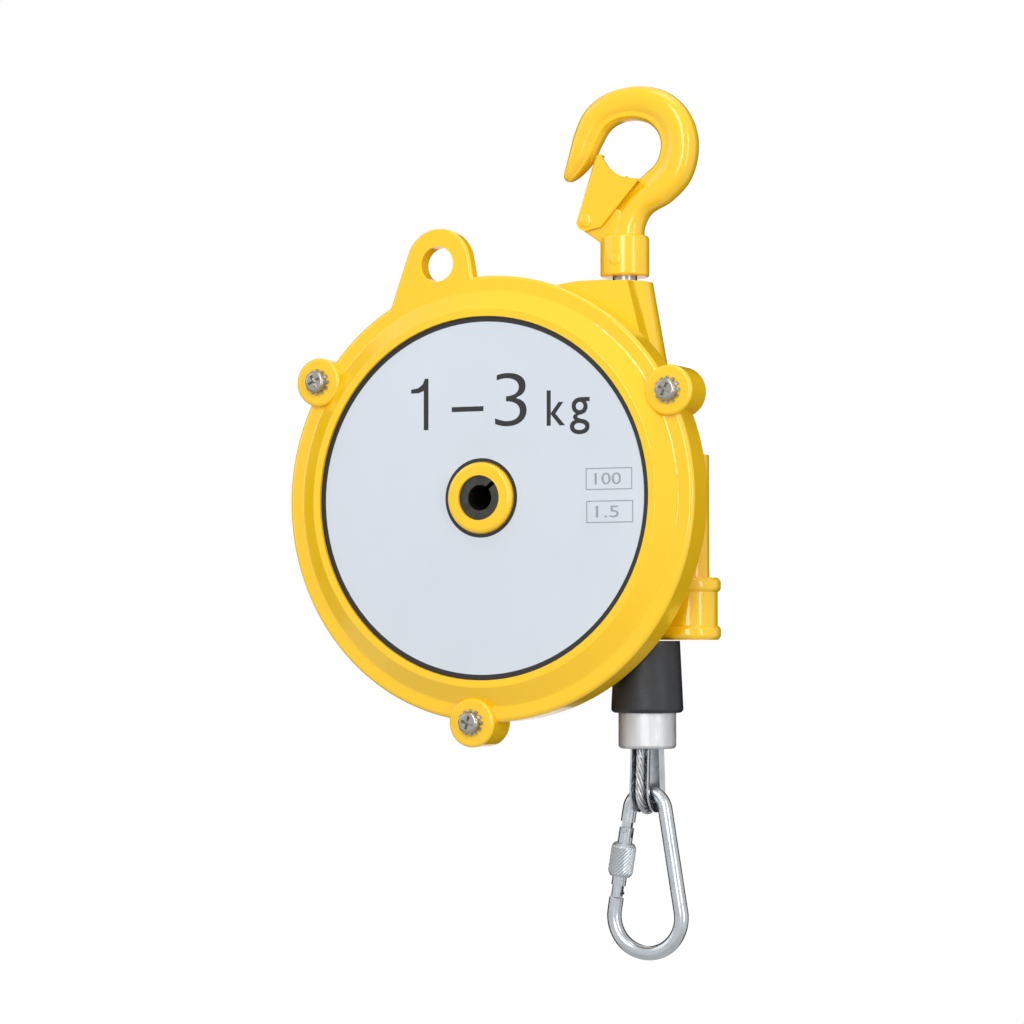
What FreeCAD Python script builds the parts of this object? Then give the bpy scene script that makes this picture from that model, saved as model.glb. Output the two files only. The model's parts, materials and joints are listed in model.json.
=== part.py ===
"""Spring tool balancer, millimetres.

Frame: the origin is on the drum axis, in the plane where cover and case meet.
+X is to the right seen from the cover, +Y runs from the cover to the back, +Z is up.
"""
import FreeCAD, Part
import Sketcher
import math
import os
import re

from FreeCAD import Vector, Placement, Rotation

doc = FreeCAD.newDocument("tool_balancer")
sheet = doc.addObject("Spreadsheet::Sheet", "dims")

# ---------------------------------------------------------------- driving dimensions

DIMENSIONS = {
    "fits": dict(run_fit=0.08, gap=0.3),
    "cover": dict(
        ring_rad=76.7, wall=3.0, flange_y=-5.8, slope_rad=71.3, lip_rad=64.8, lip_y=-10.1,
        label_rad=62.2, label_y=-9.0, label_thick=0.5, label_hole=12.4, cover_skin=2.6,
        hub_rad=12.2, hub_y=-11.1, edge_round=1.6,
        slope_round=1.2, lip_round=0.5),
    "case": dict(
        rim_depth=7.6, shell_rad=69.0, taper_start=18.5, taper_end=27.0, back_rad=63.3,
        back_y=36.5, back_bevel=2.5, rear_boss_rad=17.0, rear_boss_out=1.5, rib_wide=3.0,
        rib_tall=1.2, rim_edge=1.0, bush_boss=3.0),
    "ears": dict(ear_ring=76.85, ear_rad=8.5, ear_front=-8.2, ear_back=6.0, ear_edge=1.2),
    "cover screws": dict(screw_rad=2.0, screw_deep=12.5, head_rad=3.75, head_thick=2.3,
                         head_edge=1.2, recess_reach=2.3, recess_wide=1.0, recess_deep=1.5,
                         washer_rad=4.6, washer_thick=0.7, washer_teeth=12,
                         washer_notch=0.9),
    "safety lug": dict(lug_x=-18.5, lug_z=81.6, lug_hole=6.1, lug_rad=12.4, lug_thick=5.3,
                       lug_edge=1.2, lug_left=-38.7, lug_right=-2.4, lug_foot=62.0),
    "hook seat": dict(hook_x=40.9, hang_y=20.5, seat_top=74.6, seat_rad=9.75, seat_draft=10.0,
                      seat_foot=42.0, pocket_rad=8.2, pocket_top=58.4),
    "stud": dict(stud_rad=4.25, head_r=7.2, head_tall=4.5, thrust_thick=1.2, collar_rad=8.45,
                 collar_low=76.8, collar_high=91.0, pin_rad=2.4, pin_z=82.0, socket_top=88.0),
    "latch": dict(pivot_dx=-12.1, pivot_z=96.3, rivet_rad=2.4, lug_half=6.3, sheet_thick=1.0,
                  cheek_gap=0.4, web_low=101.5, web_high=114.2, lug_round=4.4),
    "arbor": dict(arbor_rad=7.6, arbor_bore=4.4, arbor_front=-10.1,
                  slot_wide=1.5, slot_end=19.0, slot_angle=40.0, key_wide=4.0),
    "drum": dict(cable_x=49.0, rope_rad=1.5, groove_pitch=3.2, wraps=4.7, cone_gain=4.0,
                 drum_front=-4.0, drum_back=22.3, flange_thick=1.8, front_flange=60.0,
                 rear_flange=55.0, spring_room=45.0, web_thick=2.0, drum_hub=13.0,
                 bush_rad=9.6, bush_long=6.0, stop_rad=2.2, stop_long=5.0),
    "spring": dict(strip_thick=0.6, coil_step=3.2, coil_first=9.4, coils=11),
    "worm": dict(teeth=117, worm_pitch_rad=3.4, wheel_y=26.5, wheel_face=3.0,
                 wheel_hub=14.0, hub_more=2.4, hole_ring=36.0, hole_rad=13.0,
                 tooth_up=0.9, tooth_down=1.15, thread_thick=0.7, thread_turns=3,
                 barrel_rad=6.6, barrel_top=15.0, worm_low=-11.0, worm_high=9.5,
                 journal_rad=2.2, stem_rad=3.0,
                 post_rad=9.4, post_rim=10.5, post_top=-27.2, post_low=-48.5, rim_tall=5.0,
                 rim_round=1.8, shelf_left=40.0,
                 plug_rad=6.0, plug_tall=6.0, hex_across=4.0, hex_deep=5.0),
    "cable end": dict(bumper_top=-48.8, bumper_low=-73.4, bumper_r_top=11.25,
                      bumper_r_low=12.45, ferrule_rad=9.9, ferrule_low=-85.6,
                      loop_rad=6.75, loop_low=-108.1, run_top=-17.6, loop_top_half=1.9,
                      thimble_thick=0.8, thimble_half=2.4, guide_rad=5.0, guide_bore=2.2,
                      guide_long=9.0, pocket_skin=1.4, pocket_deep=40.0),
    "carabiner": dict(wire_rad=2.5, link_low=-157.8, top_arc=6.6,
                      low_arc=12.4, gate_from=7.6, gate_long=23.2, nose_gap=0.3,
                      sleeve_rad=4.3, sleeve_long=11.5, sleeve_from=4.6, hinge_pin=0.9,
                      gate_neck=2.0, tongue_thick=1.2, tongue_neck=1.2,
                      tongue_head=3.2, tongue_long=3.4, catch_pin=0.6),
}
NAMES = []
row = 0
for group, values in DIMENSIONS.items():
    row += 1
    sheet.set("A%d" % row, group)
    for alias, value in values.items():
        row += 1
        sheet.set("A%d" % row, alias.replace("_", " "))
        sheet.set("B%d" % row, str(value))
        sheet.setAlias("B%d" % row, alias)
        NAMES.append(alias)
DERIVED = {
    "worm_at": "teeth / 2 + worm_pitch_rad",
    "wheel_mid": "wheel_y + wheel_face / 2",
    "arbor_rear": "back_y - 1.5",
    "gate_rad": "wire_rad",
    "link_top": "loop_low + 2 * rope_rad + thimble_thick + 1.3 + 2 * wire_rad",
}
for alias, formula in DERIVED.items():
    row += 1
    sheet.set("A%d" % row, alias.replace("_", " "))
    sheet.set("B%d" % row, "=" + formula)
    sheet.setAlias("B%d" % row, alias)
    NAMES.append(alias)
doc.recompute()


# ---------------------------------------------------------------- helpers

def bound(text):
    """Turn a formula of plain alias words into an expression on the sheet."""
    return re.sub(r"[a-z_][a-z_0-9]*", lambda w: "dims." + w[0] if w[0] in NAMES else w[0],
                  str(text))


def size(text):
    """Value of a formula of alias words."""
    return float(sheet.evalExpression(bound(text)))


def place(item, spot, turn=None):
    """Bind an object's position to three formulas and give it a fixed turn."""
    if turn is not None:
        item.Placement = Placement(Vector(), turn)
    for axis, text in zip("xyz", spot):
        item.setExpression("Placement.Base." + axis, bound(text))
    return item


ALONG = {"X": Rotation(Vector(0, 1, 0), 90), "Y": Rotation(Vector(1, 0, 0), -90),
         "Z": Rotation()}


def cylinder(name, axis, radius, length, spot):
    item = doc.addObject("Part::Cylinder", name)
    item.setExpression("Radius", bound(radius))
    item.setExpression("Height", bound(length))
    return place(item, spot, ALONG[axis])


def cone(name, axis, first, second, length, spot):
    item = doc.addObject("Part::Cone", name)
    item.setExpression("Radius1", bound(first))
    item.setExpression("Radius2", bound(second))
    item.setExpression("Height", bound(length))
    return place(item, spot, ALONG[axis])


def box(name, lengths, spot, turn=None):
    item = doc.addObject("Part::Box", name)
    for side, text in zip(("Length", "Width", "Height"), lengths):
        item.setExpression(side, bound(text))
    return place(item, spot, turn)


def fuse(name, *items):
    item = doc.addObject("Part::MultiFuse", name)
    item.Shapes = list(items)
    return item


def cut(name, base, *tools):
    item = doc.addObject("Part::Cut", name)
    item.Base = base
    item.Tool = tools[0] if len(tools) == 1 else fuse(name + "_tools", *tools)
    return item


def group(name, *items):
    item = doc.addObject("Part::Compound", name)
    item.Links = list(items)
    return item


def shaped(name, shape):
    item = doc.addObject("Part::Feature", name)
    item.Shape = shape
    return item


def ring(name, axis, outer, inner, length, spot):
    return cut(name, cylinder(name + "_outside", axis, outer, length, spot),
               cylinder(name + "_bore", axis, inner, length, spot))


def sketch(body, name, role, points):
    """Closed outline through points given as pairs of formulas."""
    drawing = body.newObject("Sketcher::SketchObject", name)
    plane = [f for f in body.Origin.OriginFeatures if f.Role == role][0]
    drawing.AttachmentSupport = [(plane, "")]
    drawing.MapMode = "FlatFace"
    spots = [Vector(size(a), size(b), 0) for a, b in points]
    count = len(spots)
    for k in range(count):
        drawing.addGeometry(Part.LineSegment(spots[k], spots[(k + 1) % count]))
    for k in range(count):
        drawing.addConstraint(Sketcher.Constraint("Coincident", k, 2, (k + 1) % count, 1))
    for k, (a, b) in enumerate(points):
        for kind, text, value in (("DistanceX", a, spots[k].x), ("DistanceY", b, spots[k].y)):
            number = drawing.addConstraint(Sketcher.Constraint(kind, -1, 1, k, 1, value))
            drawing.setExpression("Constraints[%d]" % number, bound(text))
    return drawing


def turned(name, points):
    """Solid of revolution about Y from (radius, y) points."""
    body = doc.addObject("PartDesign::Body", name)
    drawing = sketch(body, name + "_profile", "XY_Plane", points)
    feature = body.newObject("PartDesign::Revolution", name + "_turned")
    feature.Profile = drawing
    feature.ReferenceAxis = (drawing, ["V_Axis"])
    feature.Angle = 360
    return body


def plate(name, points, low, high):
    """Flat piece: an (x, z) outline from y = low to y = high."""
    body = doc.addObject("PartDesign::Body", name)
    drawing = sketch(body, name + "_outline", "XZ_Plane", points)
    feature = body.newObject("PartDesign::Pad", name + "_pad")
    feature.Profile = drawing
    feature.setExpression("Length", bound("(%s) - (%s)" % (high, low)))
    feature.Reversed = True
    body.setExpression("Placement.Base.y", bound(low))
    return body


def rounded(name, base, radius, test):
    """Fillet of the edges whose middle point passes the test."""
    doc.recompute()
    item = doc.addObject("Part::Fillet", name)
    item.Base = base
    r = size(radius)
    chosen = []
    for k, edge in enumerate(base.Shape.Edges):
        middle = edge.valueAt((edge.FirstParameter + edge.LastParameter) / 2)
        if test(edge, middle):
            chosen.append((k + 1, r, r))
    item.Edges = chosen
    return item


def round_edge(radius, y):
    """Test for a full circle about the drum axis at this radius and depth."""
    def test(edge, middle):
        return (abs(math.hypot(middle.x, middle.z) - size(radius)) < 0.01
                and abs(middle.y - size(y)) < 0.01)
    return test


PARTS = {}


def sub_part(label, item):
    item.Label = label
    PARTS[label] = item
    return item


# ---------------------------------------------------------------- housing

EAR_ANGLES = (26.85, 146.85, 266.85)


def ear_spot(angle):
    return ("ear_ring * cos(%s)" % angle, "ear_ring * sin(%s)" % angle)


def ears(name, low, high, outer):
    """Round screw ears from y = low to y = high, with the outer end's edge rounded."""
    solids = []
    for k, angle in enumerate(EAR_ANGLES):
        x, z = ear_spot(angle)
        ear = cylinder("%s_%d" % (name, k), "Y", "ear_rad", "(%s) - (%s)" % (high, low),
                       (x, low, z))
        solids.append(rounded("%s_round_%d" % (name, k), ear, "ear_edge",
                              lambda e, m: e.Length > 20 and abs(m.y - size(outer)) < 0.01))
    return solids


def ear_holes(name, radius, low, high):
    solids = []
    for k, angle in enumerate(EAR_ANGLES):
        x, z = ear_spot(angle)
        solids.append(cylinder("%s_%d" % (name, k), "Y", radius,
                               "(%s) - (%s)" % (high, low), (x, low, z)))
    return solids


def tangent_spot(foot, centre, radius, side):
    """Where a line from the foot touches the circle, on its left (-1) or right (1)."""
    gap = math.hypot(foot.x - centre.x, foot.z - centre.z)
    turn = math.atan2(foot.z - centre.z, foot.x - centre.x) + side * math.acos(radius / gap)
    return centre + Vector(radius * math.cos(turn), 0, radius * math.sin(turn))


def lug_shape():
    """Eye of the safety lug: two straight flanks on a round head, edges rounded."""
    centre = Vector(size("lug_x"), 0, size("lug_z"))
    radius = size("lug_rad")
    left = Vector(size("lug_left"), 0, size("lug_foot"))
    right = Vector(size("lug_right"), 0, size("lug_foot"))
    start, end = tangent_spot(left, centre, radius, -1), tangent_spot(right, centre, radius, 1)
    head = Part.Arc(start, centre + Vector(0, 0, radius), end).toShape()
    outline = Part.Wire([Part.makeLine(left, start), head, Part.makeLine(end, right),
                         Part.makeLine(right, left)])
    solid = Part.Face(outline).extrude(Vector(0, size("lug_thick"), 0))
    above = [e for e in solid.Edges if e.CenterOfMass.z > size("lug_foot + 1")
             and abs(e.Vertexes[0].Point.y - e.Vertexes[-1].Point.y) < 0.01]
    return solid.makeFillet(size("lug_edge"), above)


def front_cover():
    inside = "label_y + label_thick + cover_skin"
    disc = turned("cover_disc", [
        ("arbor_rad + run_fit", "hub_y"), ("hub_rad", "hub_y"),
        ("hub_rad", "label_y + label_thick"), ("label_rad + 0.1", "label_y + label_thick"),
        ("label_rad + 0.1", "lip_y"), ("lip_rad", "lip_y"), ("slope_rad", "flange_y"),
        ("ring_rad", "flange_y"), ("ring_rad", "0"), ("ring_rad - wall", "0"),
        ("ring_rad - wall", "flange_y + wall"), ("slope_rad - 1.5", "flange_y + wall"),
        ("lip_rad - 2", inside), ("hub_rad", inside), ("hub_rad", inside + " + 1.2"),
        ("arbor_rad + run_fit", inside + " + 1.2")])
    disc = rounded("cover_edges", disc, "edge_round",
                   lambda e, m: round_edge("ring_rad", "flange_y")(e, m)
                   or round_edge("hub_rad", "hub_y")(e, m))
    disc = rounded("cover_slope_foot", disc, "slope_round",
                   round_edge("slope_rad", "flange_y"))
    disc = rounded("cover_lip", disc, "lip_round", round_edge("lip_rad", "lip_y"))
    room = cylinder("cover_room", "Y", "ring_rad - wall", "-flange_y - wall + 1",
                    ("0", "flange_y + wall", "0"))
    lug_solid = cut("lug", place(shaped("lug_raw", lug_shape()), ("0", "flange_y", "0")),
                    room)
    solid = fuse("cover_solid", disc, lug_solid, *ears("cover_ear", "ear_front", "0", "ear_front"))
    solid = cut("front_cover", solid,
                cylinder("lug_hole_cut", "Y", "lug_hole", "lug_thick + 2",
                         ("lug_x", "flange_y - 1", "lug_z")),
                *ear_holes("cover_screw_hole", "screw_rad + run_fit", "ear_front - 1", "1"))
    return sub_part("front_cover", solid)


def shelf(name, radius, tall, low, edge):
    """Upright post about the worm, drawn out to the left as a flat shelf."""
    r, left = size(radius), size("shelf_left - worm_at")
    outline = Part.Wire([
        Part.makeLine(Vector(0, r, 0), Vector(left, r, 0)),
        Part.makeLine(Vector(left, r, 0), Vector(left, -r, 0)),
        Part.makeLine(Vector(left, -r, 0), Vector(0, -r, 0)),
        Part.Arc(Vector(0, -r, 0), Vector(r, 0, 0), Vector(0, r, 0)).toShape()])
    solid = Part.Face(outline).extrude(Vector(0, 0, size(tall)))
    if size(edge):
        flat = [e for e in solid.Edges if abs(e.Vertexes[0].Z - e.Vertexes[-1].Z) < 0.01
                and e.CenterOfMass.x > left + 0.1]
        solid = solid.makeFillet(size(edge), flat)
    return place(shaped(name, solid), ("worm_at", "wheel_mid", low))


def rear_case():
    shell = turned("case_shell", [
        ("0", "back_y + rear_boss_out"), ("rear_boss_rad", "back_y + rear_boss_out"),
        ("rear_boss_rad", "back_y"),
        ("back_rad - back_bevel", "back_y"), ("back_rad", "back_y - back_bevel"),
        ("back_rad", "taper_end"), ("shell_rad", "taper_start"), ("shell_rad", "rim_depth"),
        ("ring_rad", "rim_depth"), ("ring_rad", "0"), ("0", "0")])
    shell = rounded("case_rim", shell, "rim_edge", round_edge("ring_rad", "rim_depth"))
    seat = cone("hook_seat", "Z", "seat_rad + tan(seat_draft) * (seat_top - seat_foot)",
                "seat_rad", "seat_top - seat_foot", ("hook_x", "hang_y", "seat_foot"))
    shoulder = plate("seat_shoulder", [
        ("hook_x - 24", "seat_top - 3.5"), ("hook_x - 20", "seat_top - 0.9"),
        ("hook_x - 12", "seat_top"), ("hook_x", "seat_top"), ("hook_x", "seat_foot"),
        ("hook_x - 24", "seat_foot")], "rim_depth - 1", "hang_y + seat_rad")
    seat_front = plate("seat_front", [
        ("hook_x - 12", "seat_top - 0.4"), ("hook_x + seat_rad - 3", "seat_top - 0.4"),
        ("hook_x + seat_rad + 5", "seat_foot"), ("hook_x - 12", "seat_foot")],
        "rim_depth - 1", "hang_y")
    barrel = cylinder("worm_barrel", "Z", "barrel_rad", "barrel_top - post_top + 2",
                      ("worm_at", "wheel_mid", "post_top - 2"))
    post = shelf("post", "post_rad", "post_top - post_low", "post_low", "0")
    rims = [shelf("post_rim_low", "post_rim", "rim_tall", "post_low", "rim_round"),
            shelf("post_rim_top", "post_rim", "rim_tall", "post_top - rim_tall",
                  "rim_round")]
    outlet = cylinder("cable_outlet", "Z", "guide_rad + pocket_skin", "guide_long + pocket_skin",
                      ("cable_x", "hang_y", "post_low"))
    ribs = []
    for k in range(6):
        rib = box("rear_rib_%d" % k, ("back_rad - back_bevel - 4", "rib_tall + 1", "rib_wide"),
                  ("0", "back_y - 1", "0"))
        rib.Placement.Rotation = Rotation(Vector(0, 1, 0), 60 * k + 30)
        ribs.append(rib)
    solid = fuse("case_solid", shell, seat, shoulder, seat_front, barrel, post, outlet, *rims, *ribs,
                 *ears("case_ear", "0", "ear_back", "ear_back"))
    room = turned("case_room", [
        ("0", "-1"), ("ring_rad - wall", "-1"), ("ring_rad - wall", "rim_depth - wall"),
        ("shell_rad - wall", "rim_depth - wall"), ("shell_rad - wall", "taper_start - 1"),
        ("back_rad - wall", "taper_end - 1"), ("back_rad - wall", "back_y - wall"),
        ("rear_boss_rad", "back_y - wall"), ("rear_boss_rad", "back_y - wall - bush_boss"),
        ("bush_rad", "back_y - wall - bush_boss"), ("bush_rad", "arbor_rear + gap"),
        ("0", "arbor_rear + gap")])
    skin = cylinder("pocket_wall", "Z", "bumper_r_low + gap + pocket_skin", "pocket_deep",
                    ("cable_x", "hang_y", "post_low + pocket_skin - pocket_deep"))
    solid = cut("rear_case", solid, cut("case_room_round_pocket", room, skin),
                cylinder("bumper_pocket", "Z", "bumper_r_low + gap", "pocket_deep",
                         ("cable_x", "hang_y", "post_low - pocket_deep")),
                cylinder("stud_hole", "Z", "stud_rad + run_fit", "seat_top - seat_foot + 4",
                         ("hook_x", "hang_y", "seat_foot - 2")),
                cylinder("stud_pocket", "Z", "pocket_rad", "pocket_top - seat_foot + 3",
                         ("hook_x", "hang_y", "seat_foot - 3")),
                cylinder("guide_hole", "Z", "guide_rad", "2 * guide_long",
                         ("cable_x", "hang_y", "post_low - 1")),
                cylinder("worm_room", "Z", "worm_pitch_rad + tooth_up + gap",
                         "worm_high + 1 - post_low - plug_tall",
                         ("worm_at", "wheel_mid", "post_low + plug_tall")),
                cylinder("worm_top_hole", "Z", "journal_rad + run_fit", "3",
                         ("worm_at", "wheel_mid", "worm_high + 0.5")),
                cylinder("plug_hole", "Z", "plug_rad", "plug_tall + 1",
                         ("worm_at", "wheel_mid", "post_low - 1")),
                *ear_holes("case_screw_hole", "screw_rad", "-1", "ear_back - 1"))
    return sub_part("rear_case", solid)


def label_plate():
    return sub_part("label_plate", ring("label_plate", "Y", "label_rad", "label_hole",
                                        "label_thick", ("0", "label_y", "0")))


def cross_recess(k, x, z):
    """Two crossed slots, turned differently on each screw as a driver leaves them."""
    slots = []
    for turn in (0, 90):
        slot = box("recess_%d_%d" % (k, turn), ("2 * recess_reach", "recess_deep",
                                                "recess_wide"), ("0", "0", "0"))
        slot.Placement.Rotation = Rotation(Vector(0, 1, 0), turn + 25 + 40 * k)
        corner = slot.Placement.Rotation.multVec(Vector(size("recess_reach"), 0,
                                                        size("recess_wide / 2")))
        place(slot, ("%s - (%.6f)" % (x, corner.x),
                     "ear_front - washer_thick - head_thick",
                     "%s - (%.6f)" % (z, corner.z)))
        slots.append(slot)
    return slots


def star_washer():
    """Washer with outward teeth, made from the tooth count."""
    count = int(size("washer_teeth"))
    step = 2 * math.pi / count
    points = []
    for k in range(count):
        for share, radius in ((-0.3, size("washer_rad - washer_notch")),
                              (-0.2, size("washer_rad")), (0.2, size("washer_rad")),
                              (0.3, size("washer_rad - washer_notch"))):
            turn = (k + share) * step
            points.append(Vector(radius * math.cos(turn), 0, radius * math.sin(turn)))
    star = Part.Face(Part.makePolygon(points + points[:1]))
    star = star.extrude(Vector(0, size("washer_thick"), 0))
    return star.cut(Part.makeCylinder(size("screw_rad + run_fit"), size("washer_thick + 2"),
                                      Vector(0, -1, 0), Vector(0, 1, 0)))


def cover_fasteners():
    screws, washers = [], []
    for k, angle in enumerate(EAR_ANGLES):
        x, z = ear_spot(angle)
        head = cylinder("screw_head_%d" % k, "Y", "head_rad", "head_thick",
                        (x, "ear_front - washer_thick - head_thick", z))
        head = rounded("screw_head_round_%d" % k, head, "head_edge",
                       lambda e, m: m.y < size("ear_front - washer_thick - 1") and e.Length > 9)
        head = cut("screw_head_cross_%d" % k, head, *cross_recess(k, x, z))
        shank = cylinder("screw_shank_%d" % k, "Y", "screw_rad", "screw_deep",
                         (x, "ear_front - washer_thick", z))
        screws.append(fuse("cover_screw_%d" % k, head, shank))
        washer = shaped("lock_washer_%d" % k, star_washer())
        washers.append(place(washer, (x, "ear_front - washer_thick", z)))
    sub_part("cover_screws", group("cover_screws", *screws))
    sub_part("lock_washers", group("lock_washers", *washers))


def guides():
    sub_part("cable_guide", ring("cable_guide", "Z", "guide_rad", "guide_bore",
                                 "guide_long", ("cable_x", "hang_y", "post_low")))
    sub_part("arbor_bush", ring("arbor_bush", "Y", "bush_rad", "arbor_rad + run_fit",
                                "arbor_rear - back_y + wall + bush_boss",
                                ("0", "back_y - wall - bush_boss", "0")))
    sub_part("worm_plug", ring("worm_plug", "Z", "plug_rad", "stem_rad + run_fit",
                               "plug_tall", ("worm_at", "wheel_mid", "post_low")))
    sub_part("thrust_washer", ring("thrust_washer", "Z", "pocket_rad - gap",
                                   "stud_rad + run_fit", "thrust_thick",
                                   ("hook_x", "hang_y", "pocket_top - thrust_thick")))


# ---------------------------------------------------------------- arbor, wheel and worm

def arbor():
    tube = ring("arbor_tube", "Y", "arbor_rad", "arbor_bore", "arbor_rear - arbor_front",
                ("0", "arbor_front", "0"))
    slot = box("arbor_slot", ("arbor_rad + 2", "slot_end - arbor_front + 1", "slot_wide"),
               ("0", "arbor_front - 1", "0"))
    slot.Placement.Rotation = Rotation(Vector(0, 1, 0), -size("slot_angle"))
    sub_part("arbor", cut("arbor", tube, slot, box(
        "key_seat", ("key_wide", "wheel_face + hub_more", "2"),
        ("-key_wide / 2", "wheel_y - 2", "arbor_rad - 1.5"))))
    sub_part("wheel_key", box("wheel_key", ("key_wide", "wheel_face + hub_more", "3"),
                              ("-key_wide / 2", "wheel_y - 2", "arbor_rad - 1.5")))


def worm_wheel():
    """Toothed rim: straight flanks on the pitch circle, made from the tooth count."""
    count = int(size("teeth"))
    pitch = size("teeth") / 2
    tip, root = pitch + size("tooth_up"), pitch - size("tooth_down")
    step = 2 * math.pi / count
    points = []
    for k in range(count):
        for share, radius in ((-0.36, root), (-0.14, tip), (0.14, tip), (0.36, root)):
            turn = (k + share) * step
            points.append(Vector(radius * math.cos(turn), 0, radius * math.sin(turn)))
    rim = Part.Face(Part.makePolygon(points + points[:1]))
    rim = rim.extrude(Vector(0, size("wheel_face"), 0))
    rim.translate(Vector(0, size("wheel_y"), 0))
    rim_part = shaped("wheel_rim", rim)
    hub = cylinder("wheel_hub", "Y", "wheel_hub", "wheel_face + hub_more",
                   ("0", "wheel_y - 2", "0"))
    holes = []
    for k in range(6):
        holes.append(cylinder("wheel_hole_%d" % k, "Y", "hole_rad", "wheel_face + 2",
                              ("hole_ring * cos(%d)" % (60 * k), "wheel_y - 1",
                               "hole_ring * sin(%d)" % (60 * k))))
    keyway = box("keyway", ("key_wide", "wheel_face + 6", "arbor_rad + 1.5"),
                 ("-key_wide / 2", "wheel_y - 3", "0"))
    sub_part("worm_wheel", cut("worm_wheel", fuse("wheel_solid", rim_part, hub),
                               cylinder("wheel_bore", "Y", "arbor_rad", "wheel_face + 6",
                                        ("0", "wheel_y - 3", "0")), keyway, *holes))


def tension_worm():
    """Single-start thread whose pitch equals the wheel's tooth spacing."""
    pitch = math.pi
    root = size("worm_pitch_rad - tooth_down")
    tip = size("worm_pitch_rad + tooth_up - 0.15")
    turns = size("thread_turns")
    half = size("thread_thick") / 2
    low = -pitch * turns / 2
    helix = Part.makeHelix(pitch, pitch * turns, root)
    helix.translate(Vector(0, 0, low))
    corners = [Vector(root - 0.4, 0, low - half - 0.25), Vector(tip, 0, low - half + 0.12),
               Vector(tip, 0, low + half - 0.12), Vector(root - 0.4, 0, low + half + 0.25)]
    profile = Part.makePolygon(corners + corners[:1])
    sweep = Part.BRepOffsetAPI.MakePipeShell(Part.Wire(helix.Edges))
    sweep.setFrenetMode(True)
    sweep.add(profile)
    sweep.build()
    sweep.makeSolid()
    thread = sweep.shape()
    # the wheel has a tooth at +X, so the thread is turned to leave it a space there
    thread.rotate(Vector(), Vector(0, 0, 1), 180)
    thread = shaped("worm_thread", thread)
    place(thread, ("worm_at", "wheel_mid", "0"))
    core = cylinder("worm_core", "Z", "worm_pitch_rad - tooth_down",
                    "worm_high - worm_low", ("worm_at", "wheel_mid", "worm_low"))
    journal = cylinder("worm_journal", "Z", "journal_rad", "3.2",
                       ("worm_at", "wheel_mid", "worm_high - 0.2"))
    collar = cylinder("worm_collar", "Z", "worm_pitch_rad + tooth_up", "2.5",
                      ("worm_at", "wheel_mid", "post_low + plug_tall + gap"))
    stem = cylinder("worm_stem", "Z", "stem_rad", "worm_low + 1 - post_low - 2 * gap",
                    ("worm_at", "wheel_mid", "post_low + 2 * gap"))
    socket = doc.addObject("Part::Prism", "hex_socket")
    socket.Polygon = 6
    socket.setExpression("Circumradius", bound("hex_across / sqrt(3)"))
    socket.setExpression("Height", bound("hex_deep"))
    place(socket, ("worm_at", "wheel_mid", "post_low"))
    sub_part("tension_worm", cut("tension_worm", fuse("worm_solid", thread, core, journal,
                                                      collar, stem), socket))


# ---------------------------------------------------------------- drum

def wrap_centres():
    """(radius, y) of the cable's centre for each turn on the cone, exit first."""
    slope = size("cone_gain / (groove_pitch * wraps)")
    spots = []
    for k in range(int(math.ceil(size("wraps")))):
        step = k * size("groove_pitch")
        spots.append((size("cable_x") + slope * step, size("hang_y") - step))
    return spots


def grooved_side():
    """Outline of the drum's cone from front to back, one V groove for each turn."""
    half = size("groove_pitch") / 2
    land, floor = size("rope_rad - 0.6"), size("rope_rad + 0.15")
    points = []
    for radius, y in reversed(wrap_centres()):
        points += [(radius - land + 0.2, y - half + 0.1), (radius - floor, y - 0.4),
                   (radius - floor, y + 0.4), (radius - land - 0.2, y + half - 0.1)]
    return points


def drum():
    front = "hang_y - groove_pitch * wraps - 2.2"
    body = turned("drum_turned", [
        ("bush_rad", "drum_back - bush_long"), ("drum_hub", "drum_back - bush_long"),
        ("drum_hub", "drum_back - web_thick"), ("spring_room", "drum_back - web_thick"),
        ("spring_room", "drum_front + web_thick"),
        ("spring_room + 1", "drum_front + web_thick"), ("spring_room + 1", "drum_front"),
        ("spring_room + 4", "drum_front"), ("spring_room + 4", front + " - flange_thick"),
        ("front_flange", front + " - flange_thick"), ("front_flange", front),
        ("cable_x + cone_gain - 0.9", front)] + grooved_side() + [
        ("cable_x - 0.9", "hang_y + 1.8"), ("rear_flange", "hang_y + 1.8"),
        ("rear_flange", "drum_back + 1.4"), ("spring_room + 2", "drum_back + 1.4"),
        ("spring_room", "drum_back"), ("bush_rad", "drum_back")])
    seat = cylinder("stop_hole", "Y", "stop_rad + run_fit", "stop_long", STOP_SPOT)
    sub_part("drum", cut("drum", body, seat))
    lid = turned("drum_lid", [
        ("bush_rad", "drum_front"), ("spring_room + 0.9", "drum_front"),
        ("spring_room + 0.9", "drum_front + web_thick"),
        ("drum_hub", "drum_front + web_thick"), ("drum_hub", "drum_front + bush_long"),
        ("bush_rad", "drum_front + bush_long")])
    sub_part("drum_lid", lid)
    sub_part("front_bush", ring("front_bush", "Y", "bush_rad", "arbor_rad + run_fit",
                                "bush_long", ("0", "drum_front", "0")))
    sub_part("rear_bush", ring("rear_bush", "Y", "bush_rad", "arbor_rad + run_fit",
                               "bush_long", ("0", "drum_back - bush_long", "0")))


STOP_SPOT = ("-cable_x - cone_gain - 2.6", "hang_y - groove_pitch * wraps - 2.2 - flange_thick",
             "0")


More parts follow.
